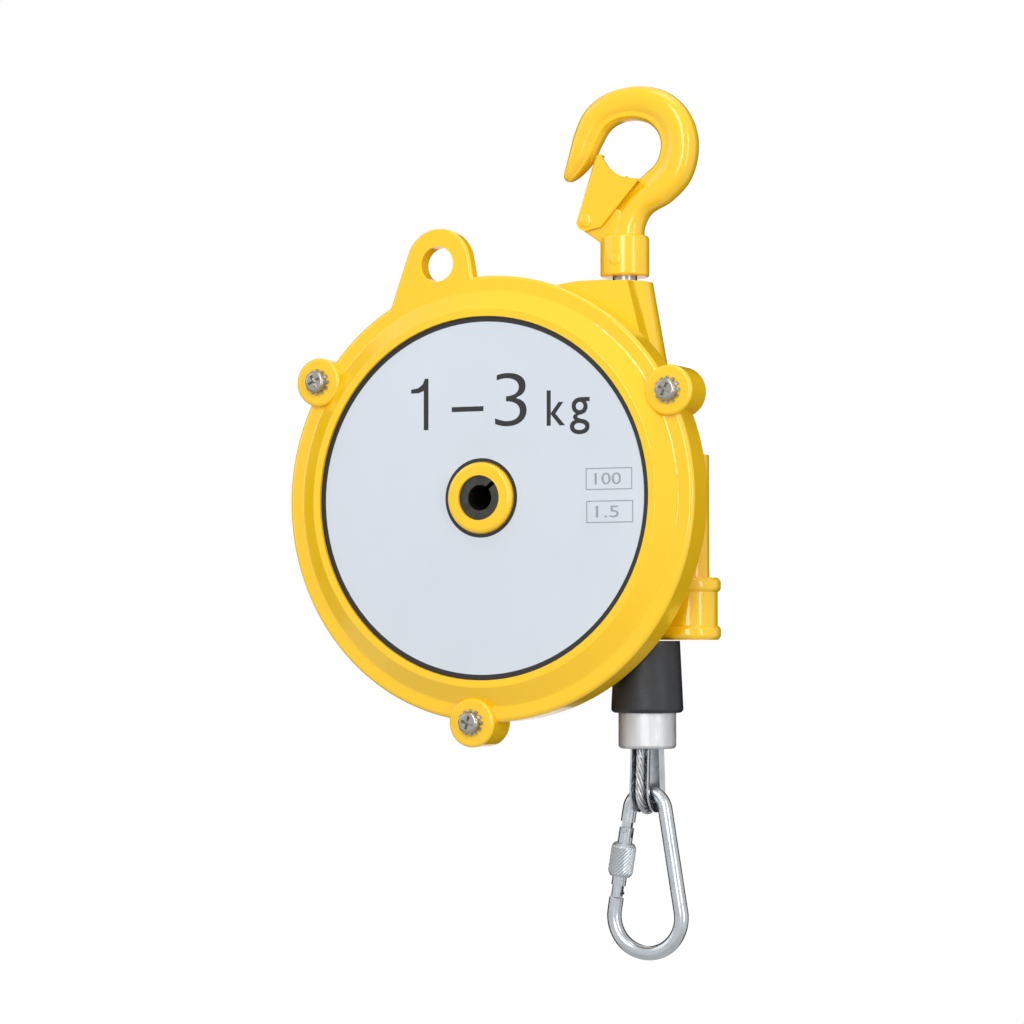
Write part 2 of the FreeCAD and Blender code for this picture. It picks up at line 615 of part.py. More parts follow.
def wound_cable():
    """The turns of cable on the cone, as one closed ring with a ridge for each turn."""
    half, rope = size("groove_pitch") / 2, size("rope_rad")
    outer = []
    spots = wrap_centres()
    for radius, y in spots:
        outer += [(radius + 0.3, y + half), (radius + rope - 0.1, y + 0.7),
                  (radius + rope - 0.1, y - 0.7)]
    first, last = spots[0], spots[-1]
    inner = [(last[0] + 0.3, last[1] - half), (last[0] - rope + 1.1, last[1] - half + 0.2),
             (first[0] - rope + 1.1, first[1] + half - 0.2)]
    sub_part("wound_cable", turned("wound_cable", outer + inner))
    sub_part("cable_stop", cylinder("cable_stop", "Y", "stop_rad", "stop_long", STOP_SPOT))


def mainspring():
    """Flat spiral of half rings: each half turn grows by half a coil step."""
    half = size("strip_thick") / 2
    step = size("coil_step")
    radius, centre, up = size("coil_first"), 0.0, 1
    outside, inside = [], []
    for k in range(2 * int(size("coils"))):
        for rows, grow in ((outside, half), (inside, -half)):
            r = radius + grow
            rows.append(Part.Arc(Vector(centre + up * r, 0, 0), Vector(centre, 0, up * r),
                                 Vector(centre - up * r, 0, 0)).toShape())
        end = centre - up * radius
        radius += step / 2
        centre = end + up * radius
        up = -up
    first_in, first_out = inside[0].Vertexes[0].Point, outside[0].Vertexes[0].Point
    last_in, last_out = inside[-1].Vertexes[-1].Point, outside[-1].Vertexes[-1].Point
    edges = outside + inside + [Part.makeLine(first_in, first_out),
                                Part.makeLine(last_in, last_out)]
    face = Part.Face(Part.Wire(Part.__sortEdges__(edges)))
    low = size("drum_front + bush_long + gap")
    strip = face.extrude(Vector(0, size("drum_back - bush_long - gap") - low, 0))
    strip.translate(Vector(0, low, 0))
    sub_part("mainspring", shaped("mainspring", strip))


# ---------------------------------------------------------------- cable end

def loop_path(radius, top_half, top, centre):
    """Drop-shaped wire in a plane square to X: two straight legs on a round bottom."""
    leg = math.hypot(top - centre, top_half)
    turn = math.atan2(top_half, top - centre) + math.acos(radius / leg)
    touch = Vector(0, radius * math.sin(turn), centre + radius * math.cos(turn))
    left, right = Vector(0, -touch.y, touch.z), touch
    arc = Part.Arc(left, Vector(0, 0, centre - radius), right).toShape()
    legs = [Part.makeLine(Vector(0, -top_half, top), left),
            Part.makeLine(right, Vector(0, top_half, top))]
    return Part.Wire([legs[0], arc, legs[1]])


def swept(path, profile):
    sweep = Part.BRepOffsetAPI.MakePipeShell(path)
    sweep.setTransitionMode(1)
    sweep.add(profile)
    sweep.build()
    sweep.makeSolid()
    return sweep.shape()


def cable_end():
    rope = size("rope_rad")
    top, low = size("ferrule_low"), size("loop_low")
    centre = low + rope + size("loop_rad")
    path = loop_path(size("loop_rad"), size("loop_top_half"), top + 2, centre)
    start = path.Vertexes[0].Point
    way = path.Edges[0].tangentAt(path.Edges[0].FirstParameter)
    circle = Part.Wire(Part.Circle(start, way, rope).toShape())
    loop = shaped("cable_loop_raw", swept(path, circle))
    place(loop, ("cable_x", "hang_y", "0"))
    keep = cylinder("loop_keep", "Z", "30", "ferrule_low - loop_low + 4",
                    ("cable_x", "hang_y", "loop_low - 4"))
    trimmed = doc.addObject("Part::Common", "cable_loop")
    trimmed.Base, trimmed.Tool = loop, keep
    sub_part("cable_loop", trimmed)
    inner = size("loop_rad") - rope
    thick, half = size("thimble_thick"), size("thimble_half")
    path = loop_path(inner - thick / 2, 0.5, top - 3.4, centre)
    start = path.Vertexes[0].Point
    way = path.Edges[0].tangentAt(path.Edges[0].FirstParameter)
    side = way.cross(Vector(1, 0, 0)).normalize()
    out = side if side.y < 0 else side * -1
    def corner(across, away):
        return start + Vector(across, 0, 0) + out * away
    points = [corner(-half, -thick / 2), corner(half, -thick / 2), corner(half, thick * 1.3),
              corner(half - 0.7, thick * 1.3), corner(half - 1.5, thick / 2 - 0.1),
              corner(-half + 1.5, thick / 2 - 0.1), corner(-half + 0.7, thick * 1.3),
              corner(-half, thick * 1.3)]
    thimble = shaped("thimble", swept(path, Part.makePolygon(points + points[:1])))
    sub_part("thimble", place(thimble, ("cable_x", "hang_y", "0")))
    bumper = cone("bumper_body", "Z", "bumper_r_low", "bumper_r_top",
                  "bumper_top - bumper_low", ("cable_x", "hang_y", "bumper_low"))
    bumper = rounded("bumper_round", bumper, "1.5",
                     lambda e, m: e.Length > 40 and m.z < size("bumper_low + 1"))
    sub_part("bumper", cut("bumper", bumper,
                           cylinder("bumper_bore", "Z", "rope_rad + run_fit",
                                    "bumper_top - bumper_low + 2",
                                    ("cable_x", "hang_y", "bumper_low - 1"))))
    ferrule = cylinder("ferrule_body", "Z", "ferrule_rad", "bumper_low - ferrule_low",
                       ("cable_x", "hang_y", "ferrule_low"))
    ferrule = rounded("ferrule_round", ferrule, "1.3",
                      lambda e, m: e.Length > 40 and m.z < size("ferrule_low + 1"))
    sub_part("ferrule", cut("ferrule", ferrule,
                            cylinder("ferrule_bore", "Z", "rope_rad + run_fit",
                                     "bumper_low - ferrule_low - 3",
                                     ("cable_x", "hang_y", "ferrule_low + 3.5"))))
    sub_part("cable_run", cylinder("cable_run", "Z", "rope_rad",
                                   "run_top - ferrule_low - 4",
                                   ("cable_x", "hang_y", "ferrule_low + 4")))


# ---------------------------------------------------------------- carabiner

def link_frame():
    """Numbers of the carabiner's outline: arc centres, lean of the legs."""
    wire = size("wire_rad")
    top = size("link_top") - wire - size("top_arc")
    low = size("link_low") + wire + size("low_arc")
    lean = math.asin((size("low_arc") - size("top_arc")) / (top - low))
    return top, low, lean


def leg_point(side, along):
    """Point on a leg's centre line, measured down from its upper tangent point."""
    top, low, lean = link_frame()
    r = size("top_arc")
    return Vector(side * (r * math.cos(lean) + along * math.sin(lean)), 0,
                  top + r * math.sin(lean) - along * math.cos(lean))


def nose_catch(eye, down, lean):
    """T-shaped tongue on the link's nose that hooks over the gate's catch pin."""
    end = eye + down * size("gate_long")
    thick, long = size("tongue_thick"), size("tongue_long")
    bars = []
    for wide, low, high in (("tongue_neck", -0.8, long - 0.8), ("tongue_head", long - 0.8, long)):
        bar = Part.makeBox(size(wide), thick, high - low, Vector(-size(wide) / 2, -thick / 2, low))
        bar.rotate(Vector(), Vector(0, 1, 0), math.degrees(lean))
        bar.translate(end)
        bars.append(bar)
    return bars


def carabiner():
    top, low, lean = link_frame()
    wire = size("wire_rad")
    leg = math.sqrt((top - low) ** 2 - (size("low_arc") - size("top_arc")) ** 2)
    hinge, nose = size("gate_from"), size("gate_from + gate_long + nose_gap")
    eye_room = size("gate_rad + gap + 0.1")
    right_top, right_low = leg_point(1, 0), leg_point(1, leg)
    left_top, left_low = leg_point(-1, 0), leg_point(-1, leg)
    path = Part.Wire([
        Part.makeLine(leg_point(-1, hinge - eye_room), left_top),
        Part.Arc(left_top, Vector(0, 0, top + size("top_arc")), right_top).toShape(),
        Part.makeLine(right_top, right_low),
        Part.Arc(right_low, Vector(0, 0, low - size("low_arc")), left_low).toShape(),
        Part.makeLine(left_low, leg_point(-1, nose))])
    start = path.Vertexes[0].Point
    way = left_top - leg_point(-1, hinge - eye_room)
    body = swept(path, Part.Wire(Part.Circle(start, way, wire).toShape()))
    # flat eye that the gate's fork straddles
    down = (leg_point(-1, hinge) - leg_point(-1, 0)).normalize()
    eye = leg_point(-1, hinge)
    tongue = Part.makeCylinder(1.7, 1.8, eye - Vector(0, 0.9, 0), Vector(0, 1, 0))
    neck = Part.makeBox(3.4, 1.8, 4.0, Vector(-1.7, -0.9, 0))
    neck.rotate(Vector(), Vector(0, 1, 0), math.degrees(lean))
    neck.translate(eye)
    body = body.fuse([tongue, neck] + nose_catch(eye, down, lean))
    body = body.cut(Part.makeCylinder(size("hinge_pin"), 8, eye - Vector(0, 4, 0),
                                      Vector(0, 1, 0)))
    sub_part("carabiner", place(shaped("carabiner", body), ("cable_x", "hang_y", "0")))
    pin = Part.makeCylinder(size("hinge_pin"), 2 * size("gate_rad") - 0.2,
                            eye - Vector(0, size("gate_rad") - 0.1, 0), Vector(0, 1, 0))
    sub_part("gate_pin", place(shaped("gate_pin", pin), ("cable_x", "hang_y", "0")))
    # gate: round bar with a fork at the hinge
    length = size("gate_long")
    bar = Part.makeCylinder(size("gate_rad"), length + 0.8, eye - down * 0.8, down)
    fork = Part.makeBox(7, 2.0, 4.6, Vector(-3.5, -1.0, -2.4))
    fork.rotate(Vector(), Vector(0, 1, 0), math.degrees(lean))
    fork.translate(eye)
    bar = bar.cut([fork, Part.makeCylinder(size("hinge_pin + run_fit"), 8,
                                           eye - Vector(0, 4, 0), Vector(0, 1, 0))])
    end = eye + down * length
    slot_long = size("tongue_long + 2 * gap")
    slot = Part.makeBox(12, size("tongue_thick + 2 * gap"), slot_long + 2,
                        Vector(-6, -size("tongue_thick / 2 + gap"), -2))
    slot.rotate(Vector(), Vector(0, 1, 0), math.degrees(lean))
    slot.translate(end)
    turned_down = Part.makeCylinder(6, slot_long, end - down * slot_long, down).cut(
        Part.makeCylinder(size("gate_neck"), slot_long, end - down * slot_long, down))
    bar = bar.cut([slot, turned_down])
    inward = Vector(-down.z, 0, down.x)
    catch = Part.makeCylinder(size("catch_pin"), 2 * size("gate_neck") - 0.5,
                              end - down * size("tongue_long - 2 * catch_pin - 0.9")
                              + inward * size("tongue_neck / 2 + catch_pin + gap / 2")
                              - Vector(0, size("gate_neck") - 0.25, 0), Vector(0, 1, 0))
    bar = bar.fuse(catch)
    sub_part("gate", place(shaped("gate", bar), ("cable_x", "hang_y", "0")))
    spot = eye + down * size("sleeve_from")
    sleeve = Part.makeCylinder(size("sleeve_rad"), size("sleeve_long"), spot, down)
    sleeve = sleeve.cut(Part.makeCylinder(size("wire_rad + run_fit"),
                                          size("sleeve_long") + 2, spot - down, down))
    sub_part("locking_sleeve", place(shaped("locking_sleeve", sleeve),
                                     ("cable_x", "hang_y", "0")))


# ---------------------------------------------------------------- top hook

HOOK_SECTIONS = (
    # across the hook: centre x, centre z, heading, half width, half thickness
    (0.0, 88.5, 90, 6.6, 6.4), (0.6, 94.5, 76, 7.6, 6.4), (7.2, 102.4, 42, 8.0, 6.2),
    (15.2, 108.8, 60, 7.4, 5.6), (20.4, 120.0, 91, 6.9, 5.3), (15.5, 131.7, 135, 6.6, 5.2),
    (3.4, 136.6, 180, 6.4, 5.2), (-8.3, 131.7, 225, 6.5, 5.2), (-13.5, 122.4, 262, 6.4, 5.2),
    (-17.4, 115.8, 240, 4.4, 4.2), (-20.6, 111.9, 235, 1.6, 2.0))


def top_hook():
    rings = []
    for x, z, heading, wide, thick in HOOK_SECTIONS:
        way = Vector(math.cos(math.radians(heading)), 0, math.sin(math.radians(heading)))
        across = way.cross(Vector(0, 1, 0))
        centre = Vector(x, 0, z)
        if wide >= thick:
            oval = Part.Ellipse(centre + across * wide, centre + Vector(0, thick, 0), centre)
        else:
            oval = Part.Ellipse(centre + Vector(0, thick, 0), centre + across * wide, centre)
        rings.append(Part.Wire(oval.toShape()))
    bowl = Part.makeLoft(rings, True, False)
    collar = Part.makeCylinder(size("collar_rad"), size("collar_high - collar_low"),
                               Vector(0, 0, size("collar_low")))
    edges = [e for e in collar.Edges if e.Length > 20]
    collar = collar.makeFillet(0.8, edges)
    pivot = Vector(size("pivot_dx"), 0, size("pivot_z"))
    lug = Part.makeCylinder(size("lug_round"), 2 * size("lug_half"),
                            pivot - Vector(0, size("lug_half"), 0), Vector(0, 1, 0))
    root = Part.makePolygon([pivot + Vector(-1.5, 0, -4.1), Vector(-7.0, 0, 88.5),
                             Vector(2, 0, 88.5), Vector(4, 0, 104),
                             pivot + Vector(2.0, 0, 3.9), pivot + Vector(-1.5, 0, -4.1)])
    root = Part.Face(root).extrude(Vector(0, 2 * size("lug_half"), 0))
    root.translate(Vector(0, -size("lug_half"), 0))
    solid = bowl.fuse([collar, lug, root])
    solid = solid.cut([
        Part.makeCylinder(size("stud_rad"), size("socket_top - collar_low") + 1,
                          Vector(0, 0, size("collar_low") - 1)),
        Part.makeCylinder(size("pin_rad"), 30, Vector(0, -15, size("pin_z")),
                          Vector(0, 1, 0)),
        Part.makeCylinder(size("rivet_rad"), 30, pivot - Vector(0, 15, 0), Vector(0, 1, 0))])
    sub_part("top_hook", place(shaped("top_hook", solid), ("hook_x", "hang_y", "0")))
    stud = cylinder("stud_shank", "Z", "stud_rad", "socket_top - pocket_top + thrust_thick",
                    ("hook_x", "hang_y", "pocket_top - thrust_thick"))
    head = cylinder("stud_head", "Z", "head_r", "head_tall",
                    ("hook_x", "hang_y", "pocket_top - thrust_thick - run_fit - head_tall"))
    stud = fuse("stud_solid", cylinder("stud_neck", "Z", "stud_rad", "1",
                                       ("hook_x", "hang_y",
                                        "pocket_top - thrust_thick - 0.5")), stud, head)
    sub_part("swivel_stud", cut("swivel_stud", stud,
                                cylinder("stud_cross_hole", "Y", "pin_rad", "30",
                                         ("hook_x", "hang_y - 15", "pin_z"))))
    sub_part("cross_pin", cylinder("cross_pin", "Y", "pin_rad", "2 * collar_rad - 0.6",
                                   ("hook_x", "hang_y - collar_rad + 0.3", "pin_z")))
    reach = "lug_half + cheek_gap + sheet_thick + 0.8"
    sub_part("latch_rivet", cylinder("latch_rivet", "Y", "rivet_rad", "2 * (%s)" % reach,
                                     ("hook_x + pivot_dx", "hang_y - (%s)" % reach,
                                      "pivot_z")))


LATCH_FOOT, LATCH_TIP = (-17.0, 94.6), (-10.6, 119.4)
LATCH_BROW, LATCH_BOWL, LATCH_HEEL = (-8.4, 119.2), (-4.2, 113.2), (5.2, 109.6)
LATCH_BACK, LATCH_ROUND = (-8.0, 92.7), (-13.0, 91.4)


def latch_outline():
    """Cheek outline: straight front and back, a hollow along the bowl, a round foot."""
    foot, tip, brow, bowl, heel, back, low = [
        Vector(x, 0, z) for x, z in (LATCH_FOOT, LATCH_TIP, LATCH_BROW, LATCH_BOWL,
                                     LATCH_HEEL, LATCH_BACK, LATCH_ROUND)]
    return Part.Wire([Part.makeLine(foot, tip), Part.makeLine(tip, brow),
                      Part.Arc(brow, bowl, heel).toShape(), Part.makeLine(heel, back),
                      Part.Arc(back, low, foot).toShape()])


def latch():
    """Folded sheet: two cheeks beside the lug, joined by a web along the outer edge."""
    inner = size("lug_half + cheek_gap")
    thick = size("sheet_thick")
    face = Part.Face(latch_outline())
    whole = face.extrude(Vector(0, 2 * (inner + thick), 0))
    whole.translate(Vector(0, -inner - thick, 0))
    way = Vector(LATCH_TIP[0] - LATCH_FOOT[0], 0, LATCH_TIP[1] - LATCH_FOOT[1]).normalize()
    room = Part.makeBox(60, 2 * inner, 60, Vector(thick, -inner, -30))
    room.rotate(Vector(), Vector(0, 1, 0), 90 - math.degrees(math.atan2(way.z, way.x)))
    room.translate(Vector(LATCH_FOOT[0], 0, LATCH_FOOT[1]))
    below = Part.makeBox(60, 2 * inner, 20, Vector(-40, -inner, size("web_low") - 20))
    above = Part.makeBox(60, 2 * inner, 20, Vector(-40, -inner, size("web_high")))
    pivot = Vector(size("pivot_dx"), -20, size("pivot_z"))
    solid = whole.cut([room, below, above,
                       Part.makeCylinder(size("rivet_rad + run_fit"), 40, pivot,
                                         Vector(0, 1, 0))])
    sub_part("latch", place(shaped("latch", solid), ("hook_x", "hang_y", "0")))


# ---------------------------------------------------------------- build and write

for build in (rear_case, front_cover, label_plate, cover_fasteners, guides, arbor,
              worm_wheel, tension_worm, drum, wound_cable, mainspring, cable_end, carabiner,
              top_hook, latch):
    build()
doc.recompute()

broken = [item.Name for item in doc.Objects if "Invalid" in item.State or "Error" in item.State]
broken += [label for label, item in PARTS.items()
           if item.Shape.isNull() or not item.Shape.isValid()]
if broken:
    raise RuntimeError("not built: " + ", ".join(broken))

os.makedirs("parts", exist_ok=True)
for label, item in PARTS.items():
    item.Shape.exportStep("parts/%s.step" % label)
    print("%-16s %2d solids %9.1f mm3" % (label, len(item.Shape.Solids), item.Shape.Volume))
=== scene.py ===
"""Looks of a spring tool balancer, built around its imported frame. Metres, Z up.

The frame's origin is on the drum axis where cover and case meet, +X is to the right seen
from the cover, +Y runs to the back. Sizes that the frame holds are read from its nodes.
"""
import json
import math

import bmesh
import bpy
from mathutils import Matrix, Vector


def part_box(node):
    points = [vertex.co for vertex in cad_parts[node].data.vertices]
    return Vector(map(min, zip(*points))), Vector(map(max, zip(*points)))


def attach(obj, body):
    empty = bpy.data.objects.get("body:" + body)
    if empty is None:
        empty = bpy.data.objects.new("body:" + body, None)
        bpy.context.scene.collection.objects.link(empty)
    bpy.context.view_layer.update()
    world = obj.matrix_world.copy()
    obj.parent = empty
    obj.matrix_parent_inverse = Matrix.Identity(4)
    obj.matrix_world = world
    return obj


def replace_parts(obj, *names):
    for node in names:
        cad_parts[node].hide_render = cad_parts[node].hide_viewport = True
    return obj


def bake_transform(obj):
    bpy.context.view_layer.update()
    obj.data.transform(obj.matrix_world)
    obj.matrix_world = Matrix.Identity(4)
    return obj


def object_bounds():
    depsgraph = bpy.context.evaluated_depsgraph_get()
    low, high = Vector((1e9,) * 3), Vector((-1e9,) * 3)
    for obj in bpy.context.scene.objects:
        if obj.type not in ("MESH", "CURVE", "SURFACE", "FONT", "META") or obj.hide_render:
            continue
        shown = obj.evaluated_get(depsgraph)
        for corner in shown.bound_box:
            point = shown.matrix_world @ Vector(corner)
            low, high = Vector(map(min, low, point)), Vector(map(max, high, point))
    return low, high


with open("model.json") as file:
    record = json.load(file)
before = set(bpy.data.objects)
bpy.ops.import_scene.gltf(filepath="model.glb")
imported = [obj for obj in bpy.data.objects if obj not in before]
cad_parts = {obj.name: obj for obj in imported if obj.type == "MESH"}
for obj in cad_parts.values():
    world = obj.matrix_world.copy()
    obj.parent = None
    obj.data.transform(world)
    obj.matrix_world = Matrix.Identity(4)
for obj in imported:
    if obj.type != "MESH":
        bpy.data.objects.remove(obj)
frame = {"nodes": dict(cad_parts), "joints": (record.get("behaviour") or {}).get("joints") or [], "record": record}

bl_info = {
    "name": "Tool Balancer Looks",
    "version": (1, 0, 0),
    "blender": (4, 5, 0),
    "location": "3D View > Sidebar > Balancer",
    "description": "Finishes and fine pieces of a spring tool balancer",
    "category": "Add Mesh",
}

CAD_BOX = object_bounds()
MM = 0.001
ON_AXIS = 0.001 * MM      # radius of a profile's end point that counts as the axis
TOUCHING = 1e-7           # points closer than this are one
STRANDS = 6               # in the wire rope
SHARP = math.radians(35)  # edges that turn by more than this are drawn as edges


# ---------------------------------------------------------------- measures from the frame

def middle(node):
    """Centre of a node's box."""
    low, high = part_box(node)
    return (low + high) / 2


LABEL_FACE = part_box("label_plate")[0].y
LABEL_RADIUS = (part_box("label_plate")[1].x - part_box("label_plate")[0].x) / 2
HUB_RADIUS = 12.4 * MM    # hole of the label plate
CABLE_X, CABLE_Y = middle("cable_run").x, middle("cable_run").y
ROPE_RADIUS = (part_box("cable_run")[1].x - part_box("cable_run")[0].x) / 2
RUN_TOP, RUN_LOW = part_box("cable_run")[1].z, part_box("cable_run")[0].z
LOOP_TOP, LOOP_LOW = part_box("cable_loop")[1].z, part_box("cable_loop")[0].z
HOOK_AXIS = (middle("swivel_stud").x, middle("swivel_stud").y)
PIVOT = (middle("latch_rivet").x, middle("latch_rivet").z)


# ---------------------------------------------------------------- colours and settings

def linear(code):
    """Scene-linear RGBA from an sRGB hex code."""
    channels = [int(code[k:k + 2], 16) / 255 for k in (0, 2, 4)]
    return [c / 12.92 if c <= 0.04045 else ((c + 0.055) / 1.055) ** 2.4
            for c in channels] + [1.0]


def colour(name, text, code):
    """Colour setting with an sRGB hex code as its start."""
    return bpy.props.FloatVectorProperty(name=name, description=text, subtype="COLOR",
                                         size=4, min=0, max=1, default=linear(code))


def length(name, text, value):
    """Length setting, in metres."""
    return bpy.props.FloatProperty(name=name, description=text, unit="LENGTH",
                                   default=value, precision=5)


class BalancerColours(bpy.types.PropertyGroup):
    enamel: colour("Enamel", "Paint of housing and hook", "FFCC0E")
    label: colour("Label", "Satin foil of the round label", "D0D7E0")
    ink: colour("Ink", "Print and borders of the label", "101114")
    fine_ink: colour("Fine ink", "Thin outlines of the boxed fields", "8A9097")
    zinc: colour("Zinc", "Plated carabiner and thimble", "BBC1C6")
    # screws, washers and swivel stud get a darker, greyer zinc than the carabiner's
    screw: colour("Screw zinc", "Older, greyer zinc on screws and stud", "A3A09A")
    rope: colour("Rope", "Galvanised wire rope", "C4C6C8")
    ferrule: colour("Ferrule", "Pressed aluminium", "C9CACC")
    rubber: colour("Rubber", "Bumper", "131519")
    steel: colour("Dark steel", "Oiled arbor and worm", "4A4946")
    bronze: colour("Bronze", "Bushes and worm wheel", "B0803F")
    casting: colour("Casting", "Machined drum", "B4B6B9")
    spring: colour("Spring strip", "Blued mainspring", "4B5566")
    nylon: colour("Nylon", "Cable guide", "1E1E20")
    brass: colour("Brass", "Worm plug", "C5A24E")


class BalancerSizes(bpy.types.PropertyGroup):
    border: length("Border", "Width of the label's outer border", 1.8 * MM)
    hub_border: length("Hub border", "Width of the border round the hub", 1.2 * MM)
    print_thick: length("Print thickness", "Height of the ink on the foil", 0.04 * MM)
    field_line: length("Field line", "Outline of a boxed field", 0.35 * MM)
    rope_lay: length("Rope lay", "Length of one turn of a strand", 16 * MM)
    knurl_depth: length("Knurl depth", "Height of the knurl's points", 0.3 * MM)


class BalancerStage(bpy.types.PropertyGroup):
    camera_at: bpy.props.FloatVectorProperty(
        name="Camera", description="Place of the camera", subtype="TRANSLATION",
        unit="LENGTH", default=(0.4509, -0.9362, -0.0489))
    looks_at: bpy.props.FloatVectorProperty(
        name="Aim", description="Direction in which the camera looks", subtype="DIRECTION",
        default=(-0.4277, 0.9029, 0.0427))
    lens: bpy.props.FloatProperty(name="Lens", description="Focal length",
                                  unit="CAMERA", default=106.2)
    floor_drop: length("Floor drop", "Room below the carabiner for the pulled-out cable",
                       1.6)


# ---------------------------------------------------------------- shader helpers

def add(tree, kind, inputs=None, **settings):
    """Add a shader node, set its fields, and fill or link its inputs."""
    node = tree.nodes.new(kind)
    for name, value in settings.items():
        setattr(node, name, value)
    for name, value in (inputs or {}).items():
        if isinstance(value, bpy.types.NodeSocket):
            tree.links.new(value, node.inputs[name])
        else:
            node.inputs[name].default_value = value
    return node


def begin(name, **shader_values):
    """New material with a Principled shader; gives it, its tree, shader and place."""
    material = bpy.data.materials.new(name)
    material.use_nodes = True
    tree = material.node_tree
    tree.nodes.clear()
    shader = add(tree, "ShaderNodeBsdfPrincipled",
                 {key.replace("_", " "): value for key, value in shader_values.items()})
    add(tree, "ShaderNodeOutputMaterial", {"Surface": shader.outputs["BSDF"]})
    place = add(tree, "ShaderNodeTexCoord").outputs["Object"]
    return material, tree, shader, place


def per_metre(size_mm):
    """Texture scale whose features are this many millimetres across."""
    return 1 / (size_mm * MM)


def mottle(tree, place, size_mm, low, high, detail=3.0):
    """Soft noise between two values."""
    noise = add(tree, "ShaderNodeTexNoise", {"Vector": place, "Scale": per_metre(size_mm),
                                             "Detail": detail})
    return add(tree, "ShaderNodeMapRange", {"Value": noise.outputs["Fac"], "From Min": 0.3,
                                            "From Max": 0.7, "To Min": low,
                                            "To Max": high}).outputs["Result"]


def tinted(tree, shader, base, factor, shade):
    """Base colour that drifts by a factor towards a darker or lighter shade of itself."""
    other = [min(1, c * shade) for c in base[:3]] + [1.0]
    mix = add(tree, "ShaderNodeMix", {"Factor": factor}, data_type="RGBA")
    for socket in mix.inputs:
        if socket.type == "RGBA" and socket.name == "A":
            socket.default_value = base
        if socket.type == "RGBA" and socket.name == "B":
            socket.default_value = other
    result = [s for s in mix.outputs if s.type == "RGBA"][0]
    tree.links.new(result, shader.inputs["Base Color"])


def roughened(tree, shader, place, size_mm, low, high):
    """Roughness that drifts between two values."""
    tree.links.new(mottle(tree, place, size_mm, low, high), shader.inputs["Roughness"])


def bumped(tree, shader, height, depth_mm):
    """Relief of a given depth on the shader's surface."""
    bump = add(tree, "ShaderNodeBump", {"Height": height, "Distance": depth_mm * MM})
    tree.links.new(bump.outputs["Normal"], shader.inputs["Normal"])


# ---------------------------------------------------------------- materials

def enamel(name, base, cast_mm, peel_mm):
    """Stoved gloss enamel sprayed on metal: an even bright yellow with a slight orange
    peel, over the soft waves that the casting or forging leaves."""
    material, tree, shader, place = begin(name, Roughness=0.2, IOR=1.5, Coat_Weight=0.35,
                                          Coat_Roughness=0.06)
    tinted(tree, shader, base, mottle(tree, place, 45, 0, 1), 0.95)
    peel = mottle(tree, place, peel_mm, 0, 0.25, 1.0)
    wave = mottle(tree, place, cast_mm, 0, 1, 1.0)
    both = add(tree, "ShaderNodeMath", {0: peel, 1: wave}, operation="ADD")
    bumped(tree, shader, both.outputs["Value"], 0.06)
    roughened(tree, shader, place, 9, 0.16, 0.26)
    return material


def satin_foil(base):
    """Anodised aluminium foil, printed: a pale even sheet with a faint vertical drift."""
    material, tree, shader, place = begin("anodised foil", Metallic=0.25, Roughness=0.42)
    stretched = add(tree, "ShaderNodeMapping", {"Vector": place, "Scale": (1, 1, 0.25)})
    tinted(tree, shader, base, mottle(tree, stretched.outputs["Vector"], 30, 0, 1), 0.96)
    grain = mottle(tree, place, 0.6, 0, 1, 2.0)
    bumped(tree, shader, grain, 0.004)
    roughened(tree, shader, place, 14, 0.38, 0.5)
    return material


def print_ink(name, base):
    """Screen ink: matt, with tiny thin spots."""
    material, tree, shader, place = begin(name, Roughness=0.55)
    tinted(tree, shader, base, mottle(tree, place, 0.9, 0, 1), 1.35)
    return material


def zinc_plate(base):
    """Bright zinc plating on drawn wire: clear reflections broken by a slight mottle,
    a little duller where the bath left it thin."""
    material, tree, shader, place = begin("bright zinc plate", Metallic=1.0)
    tinted(tree, shader, base, mottle(tree, place, 5, 0, 1), 0.86)
    roughened(tree, shader, place, 3, 0.2, 0.3)
    bumped(tree, shader, mottle(tree, place, 4, 0, 1), 0.006)
    return material


def matt_zinc(base):
    """Knurled zinc-plated steel: matt, because each point scatters the light."""
    material, tree, shader, place = begin("knurled zinc plate", Metallic=0.85)
    tinted(tree, shader, base, mottle(tree, place, 0.8, 0, 1), 0.82)
    roughened(tree, shader, place, 1.1, 0.38, 0.55)
    return material


def oiled_steel(base):
    """Machined steel under oil: dark, satin, with fine turning marks."""
    material, tree, shader, place = begin("oiled machined steel", Metallic=0.9)
    tinted(tree, shader, base, mottle(tree, place, 3, 0, 1, 4.0), 0.65)
    roughened(tree, shader, place, 2, 0.3, 0.5)
    bumped(tree, shader, mottle(tree, place, 0.5, 0, 1), 0.02)
    return material


def blued_strip(base):
    """Rolled spring strip, tempered blue: smooth, with long rolling streaks."""
    material, tree, shader, place = begin("blued spring strip", Metallic=1.0)
    streak = add(tree, "ShaderNodeMapping", {"Vector": place, "Scale": (0.2, 1, 0.2)})
    tinted(tree, shader, base, mottle(tree, streak.outputs["Vector"], 0.5, 0, 1), 0.7)
    roughened(tree, shader, place, 4, 0.22, 0.36)
    return material


def bearing_bronze(base):
    """Sintered or cut bronze: warm metal, porous to the eye."""
    material, tree, shader, place = begin("bearing bronze", Metallic=1.0)
    tinted(tree, shader, base, mottle(tree, place, 0.7, 0, 1, 5.0), 0.72)
    roughened(tree, shader, place, 1.5, 0.3, 0.5)
    bumped(tree, shader, mottle(tree, place, 0.4, 0, 1), 0.02)
    return material


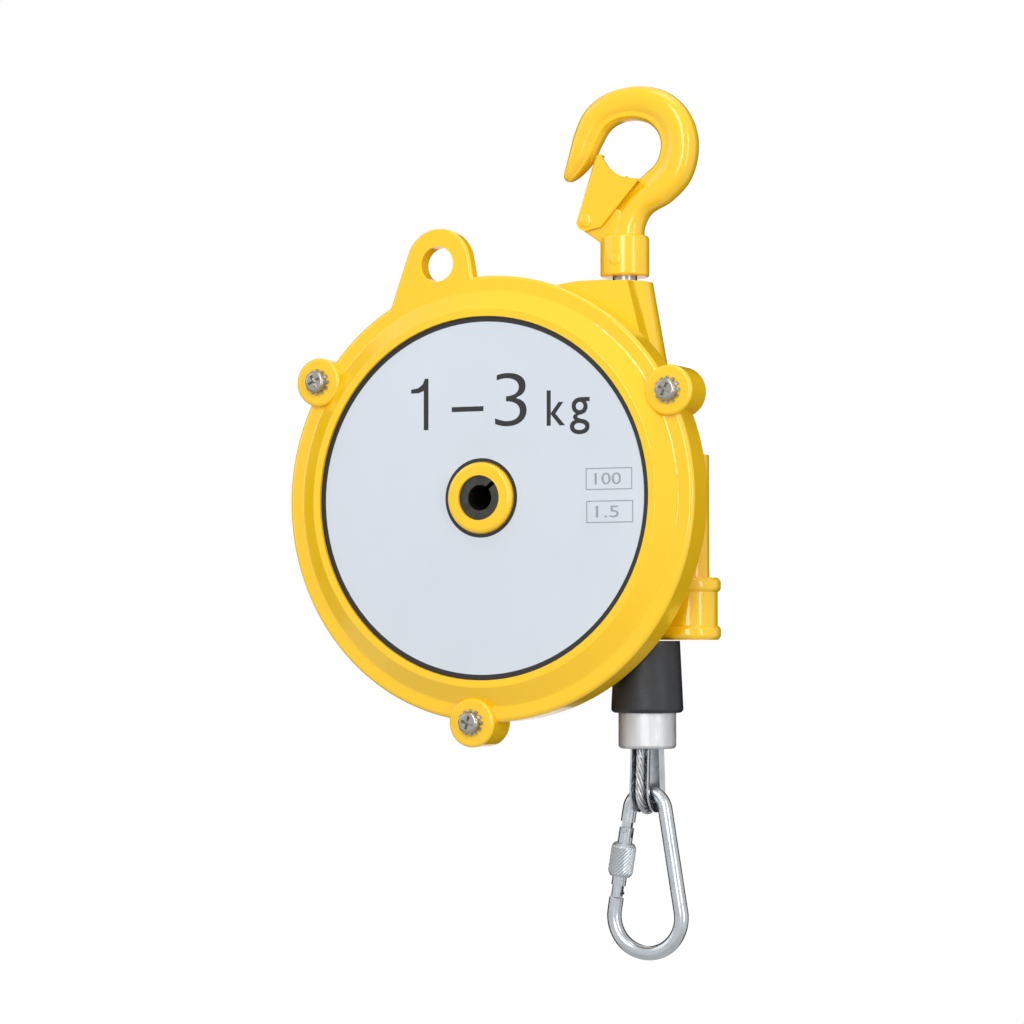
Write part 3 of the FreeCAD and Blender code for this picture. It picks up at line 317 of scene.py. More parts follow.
def turned_casting(base):
    """Machined aluminium casting: pale metal with fine rings left by the lathe."""
    material, tree, shader, place = begin("machined casting", Metallic=1.0)
    tinted(tree, shader, base, mottle(tree, place, 6, 0, 1), 0.85)
    rings = add(tree, "ShaderNodeTexWave", {"Vector": place, "Scale": per_metre(2.0),
                                            "Distortion": 0.4},
                wave_type="RINGS", rings_direction="Y")
    bumped(tree, shader, rings.outputs["Fac"], 0.01)
    roughened(tree, shader, place, 5, 0.3, 0.42)
    return material


def pressed_aluminium(base):
    """Ferrule pressed on the rope: satin aluminium with faint upright drag marks."""
    material, tree, shader, place = begin("pressed aluminium", Metallic=0.9)
    drag = add(tree, "ShaderNodeMapping", {"Vector": place, "Scale": (1, 1, 0.12)})
    marks = mottle(tree, drag.outputs["Vector"], 1.2, 0, 1, 4.0)
    tinted(tree, shader, base, marks, 0.88)
    bumped(tree, shader, marks, 0.015)
    roughened(tree, shader, place, 3, 0.44, 0.56)
    return material


def galvanised(base):
    """Galvanised wire: light grey, a little dull, each wire slightly different."""
    material, tree, shader, place = begin("galvanised wire", Metallic=0.95)
    tinted(tree, shader, base, mottle(tree, place, 1.1, 0, 1, 4.0), 0.6)
    roughened(tree, shader, place, 1.0, 0.25, 0.45)
    return material


def laid_rope(base, centre_x, centre_y, lay):
    """Galvanised wire rope, its six strands drawn as a helical relief, with painted shade
    between them: the pattern keeps its real lay when the cable is pulled out."""
    material, tree, shader, place = begin("laid wire rope", Metallic=0.95, Roughness=0.34)
    moved = add(tree, "ShaderNodeMapping", {"Vector": place,
                                            "Location": (-centre_x, -centre_y, 0)})
    parts = add(tree, "ShaderNodeSeparateXYZ", {"Vector": moved.outputs["Vector"]})
    angle = add(tree, "ShaderNodeMath", {0: parts.outputs["Y"], 1: parts.outputs["X"]},
                operation="ARCTAN2")
    around = add(tree, "ShaderNodeMath", {0: angle.outputs["Value"], 1: STRANDS},
                 operation="MULTIPLY")
    climb = add(tree, "ShaderNodeMath", {0: parts.outputs["Z"],
                                         1: STRANDS * 2 * math.pi / lay},
                operation="MULTIPLY")
    phase = add(tree, "ShaderNodeMath", {0: around.outputs["Value"],
                                         1: climb.outputs["Value"]}, operation="ADD")
    wave = add(tree, "ShaderNodeMath", {0: phase.outputs["Value"]}, operation="COSINE")
    ridge = add(tree, "ShaderNodeMapRange", {"Value": wave.outputs["Value"],
                                             "From Min": -1.0, "From Max": 1.0})
    crown = add(tree, "ShaderNodeMath", {0: ridge.outputs["Result"], 1: 0.5},
                operation="POWER")
    bumped(tree, shader, crown.outputs["Value"], 0.3)
    # painted shade: the colour darkens in the valleys between the strands and rises back on their crowns
    painted_valley_shade, crest = 0.3, 3.3       # brightness between strands, and how much the top gains
    tinted(tree, shader, [c * painted_valley_shade for c in base[:3]] + [1.0], crown.outputs["Value"],
           crest)
    return material


def moulded_rubber(base):
    """Moulded rubber: satin black, with a bloom that lifts it to grey in patches."""
    material, tree, shader, place = begin("moulded rubber", IOR=1.5)
    tinted(tree, shader, base, mottle(tree, place, 11, 0, 1, 4.0), 1.5)
    roughened(tree, shader, place, 5, 0.42, 0.58)
    bumped(tree, shader, mottle(tree, place, 0.7, 0, 1, 4.0), 0.02)
    return material


def moulded_nylon(base):
    """Black nylon bush: smooth and faintly waxy."""
    material, tree, shader, place = begin("black nylon", IOR=1.53)
    tinted(tree, shader, base, mottle(tree, place, 3, 0, 1), 1.3)
    roughened(tree, shader, place, 2, 0.34, 0.46)
    return material


def turned_brass(base):
    """Turned brass plug: yellow metal with fine rings from the lathe."""
    material, tree, shader, place = begin("turned brass", Metallic=1.0)
    tinted(tree, shader, base, mottle(tree, place, 2, 0, 1), 0.8)
    roughened(tree, shader, place, 1.5, 0.2, 0.34)
    return material


FINISHES = {}        # filled once by finishes()
SLOT_OF = {part["node"]: part["material_slot"] for part in frame["record"]["subparts"]}
DARKER_ZINC = ("cover_screws", "lock_washers", "swivel_stud")     # greyer than their slot


def finishes():
    """All materials, under the names of the record's slots, made once."""
    if FINISHES:
        return FINISHES
    tones = bpy.context.scene.balancer_colours
    sizes = bpy.context.scene.balancer_sizes
    FINISHES.update({
        "yellow_enamel": enamel("stoved enamel on casting", tones.enamel, cast_mm=14,
                                peel_mm=1.4),
        "hook_enamel": enamel("stoved enamel on forging", tones.enamel, cast_mm=7,
                              peel_mm=1.4),
        "label_foil": satin_foil(tones.label),
        "ink": print_ink("screen ink", tones.ink),
        "fine_ink": print_ink("grey screen ink", tones.fine_ink),
        "zinc_steel": zinc_plate(tones.zinc),
        "screw_zinc": zinc_plate(tones.screw),
        "knurled_zinc": matt_zinc(tones.zinc),
        "dark_steel": oiled_steel(tones.steel),
        "spring_steel": blued_strip(tones.spring),
        "bronze": bearing_bronze(tones.bronze),
        "cast_alloy": turned_casting(tones.casting),
        "wire_rope": galvanised(tones.rope),
        "laid_rope": laid_rope(tones.rope, CABLE_X, CABLE_Y, sizes.rope_lay),
        "bumper_rubber": moulded_rubber(tones.rubber),
        "ferrule_alloy": pressed_aluminium(tones.ferrule),
        "guide_nylon": moulded_nylon(tones.nylon),
        "plug_brass": turned_brass(tones.brass),
    })
    return FINISHES


# ---------------------------------------------------------------- mesh helpers

def put(name, shape, material):
    """Put a bmesh in the scene as an object with one material."""
    mesh = bpy.data.meshes.new(name)
    shape.to_mesh(mesh)
    shape.free()
    item = bpy.data.objects.new(name, mesh)
    bpy.context.scene.collection.objects.link(item)
    mesh.materials.append(material)
    return item


def piece(name, shape, finish, body):
    """Put a bmesh in the scene as a visible piece, attached to its body if one is given."""
    item = put(name, shape, finishes()[finish])
    for face in item.data.polygons:
        face.use_smooth = True
    item.data.set_sharp_from_angle(angle=SHARP)
    if body:
        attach(item, body)
    return item


def solid_of(curve):
    """The bmesh that a text or curve makes; the curve itself is used up."""
    holder = bpy.data.objects.new(curve.name, curve)
    mesh = bpy.data.meshes.new_from_object(holder)
    shape = bmesh.new()
    shape.from_mesh(mesh)
    bpy.data.objects.remove(holder)
    bpy.data.meshes.remove(mesh)
    bpy.data.curves.remove(curve)
    return shape


def spun(profile, centre, axis, steps):
    """Solid of revolution from a closed chain of (radius, along) points."""
    shape = bmesh.new()
    axis = Vector(axis).normalized()
    side = axis.orthogonal().normalized()
    if abs(axis.y) < 0.5:
        side = Vector((0, -1, 0))
    spots = [shape.verts.new(Vector(centre) + side * r + axis * a) for r, a in profile]
    edges = [shape.edges.new((spots[k], spots[(k + 1) % len(spots)]))
             for k in range(len(spots))]
    bmesh.ops.spin(shape, geom=spots + edges, cent=centre, axis=axis,
                   angle=2 * math.pi, steps=steps, use_merge=True)
    bmesh.ops.remove_doubles(shape, verts=shape.verts, dist=TOUCHING)
    bmesh.ops.recalc_face_normals(shape, faces=shape.faces)
    return shape


def swept(section, stations):
    """Solid whose closed section, in units of across and up, follows the stations."""
    shape = bmesh.new()
    spot, across, up = stations[0]
    end = shape.faces.new([shape.verts.new(spot + across * a + up * b)
                           for a, b in section])
    for next_spot, next_across, next_up in stations[1:]:
        grown = bmesh.ops.extrude_face_region(shape, geom=[end])["geom"]
        end = [item for item in grown if isinstance(item, bmesh.types.BMFace)][0]
        for vert in end.verts:
            arm = vert.co - spot
            a = arm.dot(across) / across.length_squared
            b = arm.dot(up) / up.length_squared
            vert.co = next_spot + next_across * a + next_up * b
        spot, across, up = next_spot, next_across, next_up
    bmesh.ops.recalc_face_normals(shape, faces=shape.faces)
    return shape


def joined(*shapes):
    """One bmesh that holds several."""
    whole = bmesh.new()
    for shape in shapes:
        mesh = bpy.data.meshes.new("part")
        shape.to_mesh(mesh)
        shape.free()
        whole.from_mesh(mesh)
        bpy.data.meshes.remove(mesh)
    return whole


def slab(outline, low, high, edge):
    """Flat piece from an (x, z) outline, between two depths, its edges rounded."""
    shape = bmesh.new()
    face = shape.faces.new([shape.verts.new((x, low, z)) for x, z in outline])
    grown = bmesh.ops.extrude_face_region(shape, geom=[face])["geom"]
    bmesh.ops.translate(shape, vec=(0, high - low, 0),
                        verts=[v for v in grown if isinstance(v, bmesh.types.BMVert)])
    bmesh.ops.recalc_face_normals(shape, faces=shape.faces)
    if edge:
        rims = [e for e in shape.edges
                if abs(e.verts[0].co.y - e.verts[1].co.y) < TOUCHING]
        bmesh.ops.bevel(shape, geom=rims, offset=edge, segments=3, profile=0.5,
                        affect="EDGES", material=-1, clamp_overlap=True)
    return shape


def arc_points(centre, radius, start, end, count):
    """Points on an arc in X and Z; angles in degrees, from start to end."""
    return [(centre[0] + radius * math.cos(math.radians(start + (end - start) * k / count)),
             centre[1] + radius * math.sin(math.radians(start + (end - start) * k / count)))
            for k in range(count + 1)]


def on_label(shape):
    """Turn a flat print drawn in X and Y upright onto the label, and give it thickness."""
    sizes = bpy.context.scene.balancer_sizes
    faces = list(shape.faces)
    for face in faces:
        if face.normal.z < 0:
            face.normal_flip()
    raised = bmesh.ops.extrude_face_region(shape, geom=faces)
    tops = [v for v in raised["geom"] if isinstance(v, bmesh.types.BMVert)]
    bmesh.ops.translate(shape, verts=tops, vec=(0, 0, sizes.print_thick))
    bmesh.ops.recalc_face_normals(shape, faces=shape.faces)
    upright = Matrix.Translation((0, LABEL_FACE, 0)) @ Matrix.Rotation(math.pi / 2, 4, "X")
    bmesh.ops.transform(shape, matrix=upright, verts=shape.verts)
    return shape


TYPE_SIZE = 1.37     # type size over the height of a capital


def label_text(name, text, left, foot, wide, tall, thin, finish):
    """Plain characters with their lower left corner at (left, foot) on the label."""
    curve = bpy.data.curves.new(name, "FONT")
    curve.body = text
    curve.size = TYPE_SIZE * tall
    curve.offset = -thin
    curve.resolution_u = 6
    shape = solid_of(curve)
    bmesh.ops.remove_doubles(shape, verts=shape.verts, dist=TOUCHING)
    low_x = min(v.co.x for v in shape.verts)
    low_y = min(v.co.y for v in shape.verts)
    scale = (wide / (max(v.co.x for v in shape.verts) - low_x),
             tall / (max(v.co.y for v in shape.verts) - low_y), 1)
    bmesh.ops.translate(shape, verts=shape.verts, vec=(-low_x, -low_y, 0))
    bmesh.ops.scale(shape, verts=shape.verts, vec=scale)
    bmesh.ops.translate(shape, verts=shape.verts, vec=(left, foot, 0))
    piece(name, on_label(shape), finish, "housing")


# ---------------------------------------------------------------- operators

class BALANCER_OT_finish_frame(bpy.types.Operator):
    """Give every carried-over node the finish of its slot"""
    bl_idname = "balancer.finish_frame"
    bl_label = "Finish the frame"

    def execute(self, context):
        slots = SLOT_OF | dict.fromkeys(DARKER_ZINC, "screw_zinc")
        for node, item in frame["nodes"].items():
            item.data.materials.clear()
            item.data.materials.append(finishes()[slots[node]])
        return {"FINISHED"}


LABEL_MARKS = (
    # characters, then left, foot, width and height on the label in mm, and how much finer
    # the stroke is than the letter's own
    ("load_to", "3", 5.3, 24.2, 11.9, 18.2, 0.34),
    ("unit_k", "k", 24.7, 23.9, 6.8, 12.0, -0.08),
    ("unit_g", "g", 33.3, 20.7, 7.3, 12.5, -0.08),
    ("field_high_number", "100", 42.4, 3.6, 9.6, 3.9, 0.0),
    ("field_low_number", "1.5", 42.8, -7.5, 8.4, 3.9, 0.0),
)
LABEL_ONE = (
    # outline of the figure one in mm: a plain bar with a short curved flag
    (-22.0, 23.8), (-20.2, 23.8), (-20.2, 41.6), (-21.6, 41.6), (-22.4, 39.7),
    (-24.2, 38.4), (-26.9, 38.0), (-26.9, 36.6), (-24.0, 36.7), (-22.0, 37.4),
)
# left, foot, right and top in mm
LABEL_DASH = (-11.2, 29.7, 0.9, 31.4)
LABEL_FIELDS = ((39.1, 1.8, 56.1, 9.2), (39.3, -9.3, 56.4, -1.8))


class BALANCER_OT_label(bpy.types.Operator):
    """Print the label: two borders, the load range and two boxed numbers"""
    bl_idname = "balancer.label"
    bl_label = "Label print"

    def execute(self, context):
        sizes = context.scene.balancer_sizes
        for name, inner, outer in (
                ("label_border", LABEL_RADIUS - sizes.border, LABEL_RADIUS),
                ("hub_border", HUB_RADIUS, HUB_RADIUS + sizes.hub_border)):
            ring = spun([(inner, 0), (outer, 0), (outer, sizes.print_thick),
                         (inner, sizes.print_thick)], (0, LABEL_FACE, 0), (0, -1, 0), 128)
            piece(name, ring, "ink", "housing")
        for name, text, left, foot, wide, tall, thin in LABEL_MARKS:
            label_text(name, text, left * MM, foot * MM, wide * MM, tall * MM, thin * MM,
                       "fine_ink" if name.startswith("field") else "ink")
        one = bmesh.new()
        one.faces.new([one.verts.new((x * MM, z * MM, 0)) for x, z in LABEL_ONE])
        piece("load_from", on_label(one), "ink", "housing")
        line = sizes.field_line / MM
        bars = {"load_dash": [LABEL_DASH]}
        for name, (x0, z0, x1, z1) in zip(("field_high", "field_low"), LABEL_FIELDS):
            bars[name] = [(x0, z0, x1, z0 + line), (x0, z1 - line, x1, z1),
                          (x0, z0 + line, x0 + line, z1 - line),
                          (x1 - line, z0 + line, x1, z1 - line)]
        for name, rows in bars.items():
            shape = bmesh.new()
            for x0, z0, x1, z1 in rows:
                grid = bmesh.ops.create_grid(shape, x_segments=1, y_segments=1, size=0.5)
                bmesh.ops.scale(shape, verts=grid["verts"],
                                vec=((x1 - x0) * MM, (z1 - z0) * MM, 1))
                bmesh.ops.translate(shape, verts=grid["verts"],
                                    vec=((x0 + x1) / 2 * MM, (z0 + z1) / 2 * MM, 0))
            finish = "ink" if name == "load_dash" else "fine_ink"
            piece(name, on_label(shape), finish, "housing")
        return {"FINISHED"}


EYE_TOP_HALF = 5.6 * MM     # from the middle to the end of each leg, inside the ferrule
EYE_ENTERS = 2 * MM         # how far the legs run up into the ferrule
PRESSED = 1.02              # the strands are this much thicker, so that they touch


def eye_line(share):
    """Point, inward normal and length so far on the rope eye's centre line, 0 to 1 from
    leg to leg."""
    low = LOOP_LOW + ROPE_RADIUS
    half = (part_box("cable_loop")[1].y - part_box("cable_loop")[0].y) / 2 - ROPE_RADIUS
    centre = low + half
    top = LOOP_TOP + EYE_ENTERS
    reach = math.hypot(top - centre, EYE_TOP_HALF)
    turn = math.atan2(EYE_TOP_HALF, top - centre) + math.acos(half / reach)
    touch = (half * math.sin(turn), centre + half * math.cos(turn))
    leg = math.hypot(touch[0] - EYE_TOP_HALF, touch[1] - top)
    bend = half * 2 * (math.pi - turn)
    along = share * (2 * leg + bend)
    if along < leg or along > leg + bend:
        side = -1 if along < leg else 1
        part = along / leg if along < leg else 1 - (along - leg - bend) / leg
        y = side * (EYE_TOP_HALF + (touch[0] - EYE_TOP_HALF) * part)
        z = top + (touch[1] - top) * part
        normal = Vector((0, side * math.sin(turn), math.cos(turn)))
    else:
        angle = -turn - (along - leg) / half
        y, z = half * math.sin(angle), centre + half * math.cos(angle)
        normal = Vector((0, math.sin(angle), math.cos(angle)))
    return Vector((CABLE_X, CABLE_Y + y, z)), normal, along


class BALANCER_OT_rope_eye(bpy.types.Operator):
    """Six laid strands round the thimble, in place of the plain loop"""
    bl_idname = "balancer.rope_eye"
    bl_label = "Rope eye"

    def execute(self, context):
        lay = context.scene.balancer_sizes.rope_lay
        strand = ROPE_RADIUS / 3
        curve = bpy.data.curves.new("rope_eye", "CURVE")
        curve.dimensions = "3D"
        curve.bevel_depth = strand * PRESSED
        curve.bevel_resolution = 2
        curve.use_fill_caps = True
        spans = 120
        for number in range(STRANDS):
            line = curve.splines.new("POLY")
            line.points.add(spans)
            for k in range(spans + 1):
                spot, normal, along = eye_line(k / spans)
                turn = 2 * math.pi * (along / lay + number / STRANDS)
                spot = spot + (ROPE_RADIUS - strand) * (normal * math.cos(turn)
                                                       + Vector((math.sin(turn), 0, 0)))
                line.points[k].co = (*spot, 1)
        eye = piece("rope_eye", solid_of(curve), "wire_rope", "cable_end")
        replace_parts(eye, "cable_loop")
        return {"FINISHED"}


class BALANCER_OT_thimble(bpy.types.Operator):
    """Pressed channel that lines the rope eye, its flanges flared round the rope"""
    bl_idname = "balancer.thimble"
    bl_label = "Thimble"

    def execute(self, context):
        thick, floor, flare, rise = 0.7 * MM, 2.7 * MM, 3.2 * MM, 2.3 * MM
        section = [(-floor, -thick), (floor, -thick), (flare + thick * 0.4, rise),
                   (flare - thick * 0.5, rise), (floor - thick, thick * 0.4),
                   (ROPE_RADIUS * 0.6, 0), (-ROPE_RADIUS * 0.6, 0),
                   (thick - floor, thick * 0.4), (thick * 0.5 - flare, rise),
                   (-flare - thick * 0.4, rise)]
        stations = []
        spans, bare = 72, 0.03      # the lining ends this share before the rope does
        for k in range(spans + 1):
            spot, normal, _ = eye_line(bare + (1 - 2 * bare) * k / spans)
            stations.append((spot - normal * ROPE_RADIUS, Vector((1, 0, 0)), normal))
        lining = piece("pressed_thimble", swept(section, stations), "zinc_steel",
                       "cable_end")
        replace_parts(lining, "thimble")
        return {"FINISHED"}


class BALANCER_OT_cable_run(bpy.types.Operator):
    """The cable between drum and bumper, which comes out as the tool is pulled down"""
    bl_idname = "balancer.cable_run"
    bl_label = "Cable run"

    def execute(self, context):
        rings, tall, core = 48, RUN_TOP - RUN_LOW, ROPE_RADIUS * 0.2
        outside = [(ROPE_RADIUS, tall * k / rings) for k in range(rings + 1)]
        shape = spun([(core, 0)] + outside + [(core, tall)], (CABLE_X, CABLE_Y, RUN_LOW),
                     (0, 0, 1), 24)
        run = piece("laid_cable", shape, "laid_rope", None)
        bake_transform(run)
        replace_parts(run, "cable_run")
        return {"FINISHED"}


class BALANCER_OT_sleeve(bpy.types.Operator):
    """Knurled locking sleeve with chamfered ends"""
    bl_idname = "balancer.sleeve"
    bl_label = "Knurled sleeve"

    def execute(self, context):
        joint = [j for j in frame["joints"] if j["name"] == "sleeve_slide"][0]
        axis = Vector(joint["axis"]).normalized()
        low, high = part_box("locking_sleeve")
        radius, bore, edge = (high.y - low.y) / 2, 2.75 * MM, 0.9 * MM
        tall = ((high.z - low.z) - 2 * radius * abs(axis.x)) / abs(axis.z)
        steps, rows = 44, 14
        depth = context.scene.balancer_sizes.knurl_depth
        core = radius - depth
        shoulder = core - edge * 0.7
        start = (low + high) / 2 - axis * tall / 2
        side = [(core, edge + (tall - 2 * edge) * k / rows) for k in range(rows + 1)]
        shape = spun([(bore, 0), (shoulder, 0)] + side + [(shoulder, tall), (bore, tall)],
                     start, axis, steps)
        across = Vector((0, -1, 0))
        third = axis.cross(across)
        for vert in shape.verts:
            arm = vert.co - start
            along = arm.dot(axis)
            out = arm - axis * along
            row = (along - edge) / (tall - 2 * edge) * rows
            if out.length < core - TOUCHING or row < 0.5 or row > rows - 0.5:
                continue
            column = round(math.atan2(out.dot(third), out.dot(across))
                           / (2 * math.pi) * steps)
            if (round(row) + column) % 2 == 0:
                vert.co += out.normalized() * depth
        sleeve = piece("knurled_sleeve", shape, "knurled_zinc", "sleeve")
        for face in sleeve.data.polygons:
            face.use_smooth = False
        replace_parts(sleeve, "locking_sleeve")
        return {"FINISHED"}


HOOK_SECTIONS = (
    # centre x from the hook's axis, centre z, heading in degrees, half width and half
    # thickness, in mm: stem, neck, bowl and beak
    (0.0, 89.0, 90, 6.6, 5.8), (0.6, 95.2, 80, 6.5, 5.3), (5.0, 101.7, 53, 5.6, 5.2),
    (12.0, 106.6, 50, 6.7, 5.3), (18.3, 112.5, 62, 6.6, 5.4), (20.6, 120.6, 90, 6.4, 5.4),
    (19.1, 127.9, 113, 6.4, 5.3), (14.6, 133.4, 135, 6.4, 5.2), (8.8, 136.2, 157, 6.2, 5.1),
    (2.5, 136.9, 180, 5.9, 5.0), (-4.4, 135.6, 205, 5.7, 4.9), (-10.1, 131.8, 228, 5.5, 4.8),
    (-13.6, 125.8, 245, 5.1, 4.6), (-16.3, 119.2, 248, 4.4, 4.2),
    (-19.2, 114.9, 234, 3.1, 3.2), (-21.3, 112.6, 226, 1.9, 2.0),
    (-22.1, 111.8, 226, 0.8, 0.8))
HOOK_FACE = (
    # half of the forged section from the inner edge outwards, in shares of the half width
    # and half thickness: a rounded inner bead, a crease, a flat cheek and a round back
    (1.0, 0.0), (0.98, 0.3), (0.91, 0.55), (0.8, 0.7), (0.66, 0.74), (0.54, 0.72),
    (0.44, 0.79), (0.3, 0.9), (0.08, 0.97), (-0.2, 1.0), (-0.5, 0.98), (-0.74, 0.85),
    (-0.91, 0.58), (-0.98, 0.28), (-1.0, 0.0))


def eased(rows, share):
    """Values on a smooth curve through the rows, 0 at the first and 1 at the last."""
    at = share * (len(rows) - 1)
    k = min(int(at), len(rows) - 2)
    t = at - k
    before, here = rows[max(k - 1, 0)], rows[k]
    there, after = rows[k + 1], rows[min(k + 2, len(rows) - 1)]
    return [0.5 * (2 * b + (c - a) * t + (2 * a - 5 * b + 4 * c - d) * t * t
                   + (3 * b - a - 3 * c + d) * t ** 3)
            for a, b, c, d in zip(before, here, there, after)]


def forging():
    """Stem, bowl and beak of the hook, on a smooth curve through its sections."""
    spans = 7 * (len(HOOK_SECTIONS) - 1)
    stations = []
    for k in range(spans + 1):
        x, z, heading, wide, thick = eased(HOOK_SECTIONS, k / spans)
        turn = math.radians(heading)
        stations.append((Vector((HOOK_AXIS[0] + x * MM, HOOK_AXIS[1], z * MM)),
                         Vector((-math.sin(turn), 0, math.cos(turn))) * wide * MM,
                         Vector((0, thick * MM, 0))))
    return swept(list(HOOK_FACE) + [(a, -b) for a, b in reversed(HOOK_FACE[1:-1])], stations)


def collar():
    """Round collar of the hook, bored from below for the swivel stud."""
    outer, bore = 8.45 * MM, 4.3 * MM
    low, high, socket = 76.8 * MM, 91.0 * MM, 88.0 * MM
    top_round, foot_round, crown, crown_in = 1.2 * MM, 0.8 * MM, 0.3 * MM, 3 * MM
    corner = arc_points((outer - top_round, high - top_round), top_round, 0, 80, 4)
    foot = arc_points((outer - foot_round, low + foot_round), foot_round, -90, 0, 4)
    profile = ([(ON_AXIS, socket), (bore, socket), (bore, low)] + foot + corner
               + [(outer - crown_in, high + crown), (ON_AXIS, high + crown)])
    return spun(profile, (*HOOK_AXIS, 0), (0, 0, 1), 64)


def lug():
    """Flat lug beside the stem that the latch straddles."""
    half, edge, end = 5.0 * MM, 0.7 * MM, 3.6 * MM
    root = [(PIVOT[0] + x * MM, PIVOT[1] + z * MM)
            for x, z in ((5.0, -7.8), (12, -7.8), (13, 3), (7.5, 5.8))]
    return slab(arc_points(PIVOT, end, 130, 250, 10) + root, HOOK_AXIS[1] - half,
                HOOK_AXIS[1] + half, edge)


def domed_pin(centre, radius, reach, dome, shank=None):
    """Pin along Y with a low dome on both ends, and a thinner shank if one is given."""
    head = [(radius * a, reach - dome + dome * b)
            for a, b in arc_points((0, 0), 1.0, 0, 90, 5)][:-1]
    neck = [(shank, reach - dome), (shank, dome - reach)] if shank else []
    profile = ([(ON_AXIS, reach)] + head[::-1] + neck + [(a, -b) for a, b in head]
               + [(ON_AXIS, -reach)])
    return spun(profile, centre, (0, 1, 0), 32)


class BALANCER_OT_hook(bpy.types.Operator):
    """Forged top hook with its turned collar, the latch's lug and rivet, and the pin"""
    bl_idname = "balancer.hook"
    bl_label = "Top hook"

    def execute(self, context):
        low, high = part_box("cross_pin")
        rivet = domed_pin((PIVOT[0], HOOK_AXIS[1], PIVOT[1]), 2.6 * MM, 7.1 * MM, 0.9 * MM,
                          1.9 * MM)
        cross = domed_pin(middle("cross_pin"), (high.z - low.z) / 2, 8.75 * MM, 0.8 * MM)
        for name, shape, node in (
                ("forged_hook", joined(forging(), collar(), lug()), "top_hook"),
                ("domed_rivet", rivet, "latch_rivet"), ("peened_pin", cross, "cross_pin")):
            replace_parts(piece(name, shape, "hook_enamel", "hook"), node)
        return {"FINISHED"}


LATCH_CHEEK = (
    # cheek outline in mm from the pivot: foot, tip, brow, hollow along the bowl, heel, back
    (-3.4, 0.4), (3.2, 22.9), (6.0, 22.7), (7.2, 20.2), (8.9, 17.8), (11.0, 16.0),
    (13.4, 14.7), (16.4, 13.9), (19.7, 13.5), (19.6, 12.9), (5.6, -2.4))
LATCH_HALF, LATCH_FOLD, LATCH_SHEET = 6.4 * MM, 2.4 * MM, 0.9 * MM
LATCH_EYE = 3.5 * MM          # radius of the cheek's end round the rivet
LATCH_FRONT = 3.4 * MM        # what lies further forward of the middle stays tall
LATCH_BROW = 9.0 * MM         # above the pivot, where the rest is cut on a slope
LATCH_SLOPE = Vector((-0.75, 0, 1))


def centre_of(face):
    """Mean of a face's corners."""
    return face.calc_center_median()


class BALANCER_OT_latch(bpy.types.Operator):
    """Folded latch: two cheeks and the web that rolls round from one to the other"""
    bl_idname = "balancer.latch"
    bl_label = "Latch"

    def execute(self, context):
        x, z = PIVOT
        outline = [(x + a * MM, z + b * MM) for a, b in LATCH_CHEEK]
        outline += arc_points(PIVOT, LATCH_EYE, -60, -172, 10)
        shape = slab(outline, HOOK_AXIS[1] - LATCH_HALF, HOOK_AXIS[1] + LATCH_HALF, 0)
        foot, tip = (Vector((a, 0, b)) for a, b in outline[:2])
        run = (tip - foot).normalized()
        out = Vector((-run.z, 0, run.x))
        # roll the two long edges between the web and the cheeks
        web_edges = [e for e in shape.edges
                     if abs(e.verts[0].co.y - e.verts[1].co.y) < TOUCHING
                     and all(abs((v.co - foot).dot(out)) < TOUCHING for v in e.verts)]
        bmesh.ops.bevel(shape, geom=web_edges, offset=LATCH_FOLD, segments=6, profile=0.5,
                        affect="EDGES", material=-1)
        shape.normal_update()
        # keep cheeks, rolls and web
        spare = [f for f in shape.faces
                 if abs(f.normal.y) < 0.999 and f.normal.dot(out) < 0.05]
        bmesh.ops.delete(shape, geom=spare, context="FACES")
        bmesh.ops.triangulate(shape, faces=[f for f in shape.faces if len(f.verts) > 4])
        # cut the rear cheek and most of the web lower than the front cheek
        front, brow = HOOK_AXIS[1] - LATCH_FRONT, Vector((x, 0, z + LATCH_BROW))
        bmesh.ops.bisect_plane(shape, geom=shape.verts[:] + shape.edges[:] + shape.faces[:],
                               dist=TOUCHING, plane_co=(0, front, 0), plane_no=(0, 1, 0))
        rear = [f for f in shape.faces if centre_of(f).y > front]
        parts = dict.fromkeys(item for f in rear for item in (*f.verts, *f.edges, f))
        bmesh.ops.bisect_plane(shape, geom=list(parts), dist=TOUCHING, plane_co=brow,
                               plane_no=LATCH_SLOPE)
        above = [f for f in shape.faces if centre_of(f).y > front
                 and (centre_of(f) - brow).dot(LATCH_SLOPE) > 0]
        bmesh.ops.delete(shape, geom=above, context="FACES")
        bmesh.ops.solidify(shape, geom=shape.faces[:], thickness=LATCH_SHEET)
        bmesh.ops.recalc_face_normals(shape, faces=shape.faces)
        latch = piece("folded_latch", shape, "hook_enamel", "hook_latch")
        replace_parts(latch, "latch")
        return {"FINISHED"}


LAMPS = (
    # name, direction from the front in degrees, height in degrees, distance, width and
    # height of the box in metres, watts
    ("key_softbox", 14, 20, 1.5, 0.4, 1.3, 11.5),
    ("side_softbox", 66, 8, 1.5, 0.18, 1.2, 5),
    ("fill_softbox", -62, 25, 1.8, 1.2, 1.2, 4),
    ("top_softbox", 60, 78, 1.5, 0.9, 0.7, 4),
)
FLAGS = (("dark_flag_left", -118), ("dark_flag_right", 168))     # degrees from the front
FLAG_WIDE, FLAG_TALL, FLAG_FAR = 0.85, 1.4, 0.75     # metres
AMBIENT = 0.5         # strength of the white surroundings as a light
FLOOR_SIDE = 5.0      # metres
FLOOR_LIFT = 0.6      # share of white in the floor where it is seen


def away_from_front(turn, rise, gap):
    """Offset at a distance, by degrees round from the front and up."""
    turn, rise = math.radians(turn), math.radians(rise)
    return Vector((math.sin(turn) * math.cos(rise), -math.cos(turn) * math.cos(rise),
                   math.sin(rise))) * gap


